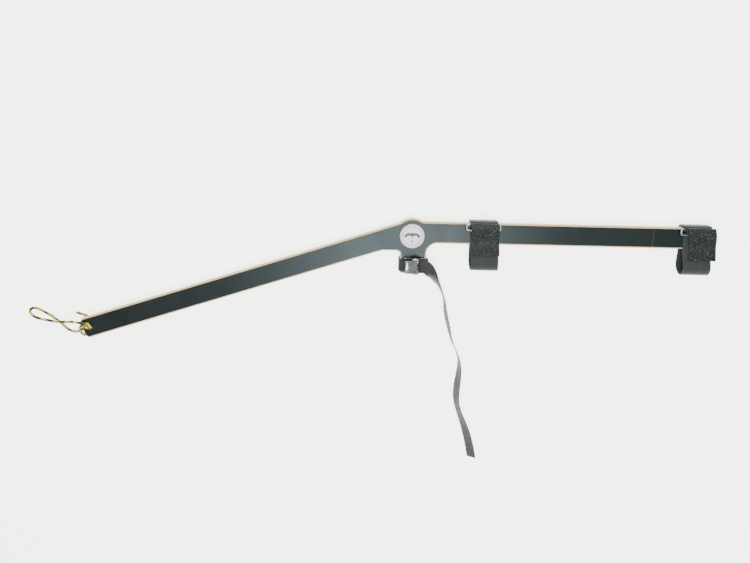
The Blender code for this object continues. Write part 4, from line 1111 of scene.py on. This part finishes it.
foot_loop = [
    (7.5, 29.35, 0), (-20.4, 29.35, 3.5), (-20.4, 0.75, 7.5), (25.35, 0.75, 7.5), (25.35, 25.65, 2.2),
    (16.7, 25.65, 0),
]
foot_path = (
    rounded(foot_loop)
    + turn_points((16.7, 27.5), 1.85, -pi / 2, -pi, 16)[1:-1]
    + rounded([(16.7, 29.35, 0), (27.15, 29.35, 4.0), (27.15, 10.2, 0)])
)
foot_line = resample(np.array(foot_path, float) / 1000, 0.0006)
FOOT_Y = HUB.y - 0.0476
foot_centres = np.column_stack([foot_line[:, 0] + HUB.x, np.full(len(foot_line), FOOT_Y), foot_line[:, 1]])
foot_across = np.repeat([[0.0, 1.0, 0.0]], len(foot_centres), axis=0)
foot_strap = grid_piece("foot_webbing", webbing_rings(foot_centres, foot_across), webbing)
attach(foot_strap, "bar")
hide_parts("hub_strap")

# A box of stitches closes the sewn end on the foot's side.
box_seam = []
outer_x = HUB.x + 0.02795
for y_off in (-0.0078, 0.0078):
    box_seam.append([(outer_x, FOOT_Y + y_off, z) for z in np.linspace(0.0115, 0.0225, 12)])
for z_row in (0.0115, 0.0170, 0.0225):
    box_seam.append([(outer_x, FOOT_Y + y, z_row) for y in np.linspace(-0.0078, 0.0078, 14)])
foot_values = {
    seam_inputs["finish"]: thread,
    seam_inputs["pitch"]: 0.0024,
    seam_inputs["length"]: 0.0019,
}
foot_stitches = grown("foot_stitches", seam_mesh("box_seam", box_seam), seam_tree, foot_values)
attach(foot_stitches, "bar")

TAIL_ROUTE = [
    (7.9, -47.6, 29.4, 0), (10.5, -47.6, 29.6, 0), (13.2, -47.6, 30.6, 0), (16.5, -47.6, 31.35, 0),
    (21.0, -48.0, 31.4, 0), (25.4, -50.4, 31.4, 1), (29.2, -55.0, 31.3, 2), (32.6, -60.8, 29.0, 18),
    (36.2, -67.0, 24.6, 40), (40.6, -74.2, 18.6, 60), (45.4, -81.4, 14.4, 71), (50.4, -89.8, 11.4, 81),
    (55.0, -100.0, 10.4, 87),
    (58.8, -112.0, 10.3, 86), (60.4, -126.0, 10.2, 80), (63.4, -141.0, 10.2, 77), (67.2, -156.0, 10.2, 78),
    (71.2, -172.0, 10.2, 83), (76.0, -186.0, 10.3, 86), (82.4, -199.0, 10.3, 88), (87.6, -214.0, 10.3, 86),
    (89.6, -229.0, 10.1, 78), (88.9, -245.0, 9.9, 70), (87.4, -261.0, 9.6, 65), (86.6, -277.0, 9.5, 65),
    (87.6, -293.0, 9.6, 66), (91.8, -308.0, 9.6, 66), (97.6, -323.0, 9.3, 61), (103.4, -338.0, 8.8, 55),
    (108.4, -353.0, 8.4, 51), (113.2, -370.0, 8.1, 48), (116.8, -386.0, 8.0, 47), (119.6, -399.0, 7.9, 46),
]
tail_samples = smooth_line([(*from_hub(x, y, z), radians(tilt)) for x, y, z, tilt in TAIL_ROUTE], 0.0011)
tail_line = tail_samples[:, :3]
tail_steps = directions_of(tail_line)
level = np.cross((0.0, 0.0, 1.0), tail_steps)
level /= np.linalg.norm(level, axis=1)[:, None]
upright = np.cross(tail_steps, level)
tilt = tail_samples[:, 3:4]
tail_across = level * np.cos(tilt) + upright * np.sin(tilt)
tail = grid_piece("webbing_tail", webbing_rings(tail_line, tail_across), webbing)
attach(tail, "bar")
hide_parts("hub_strap_tail")

bpy.context.view_layer.update()
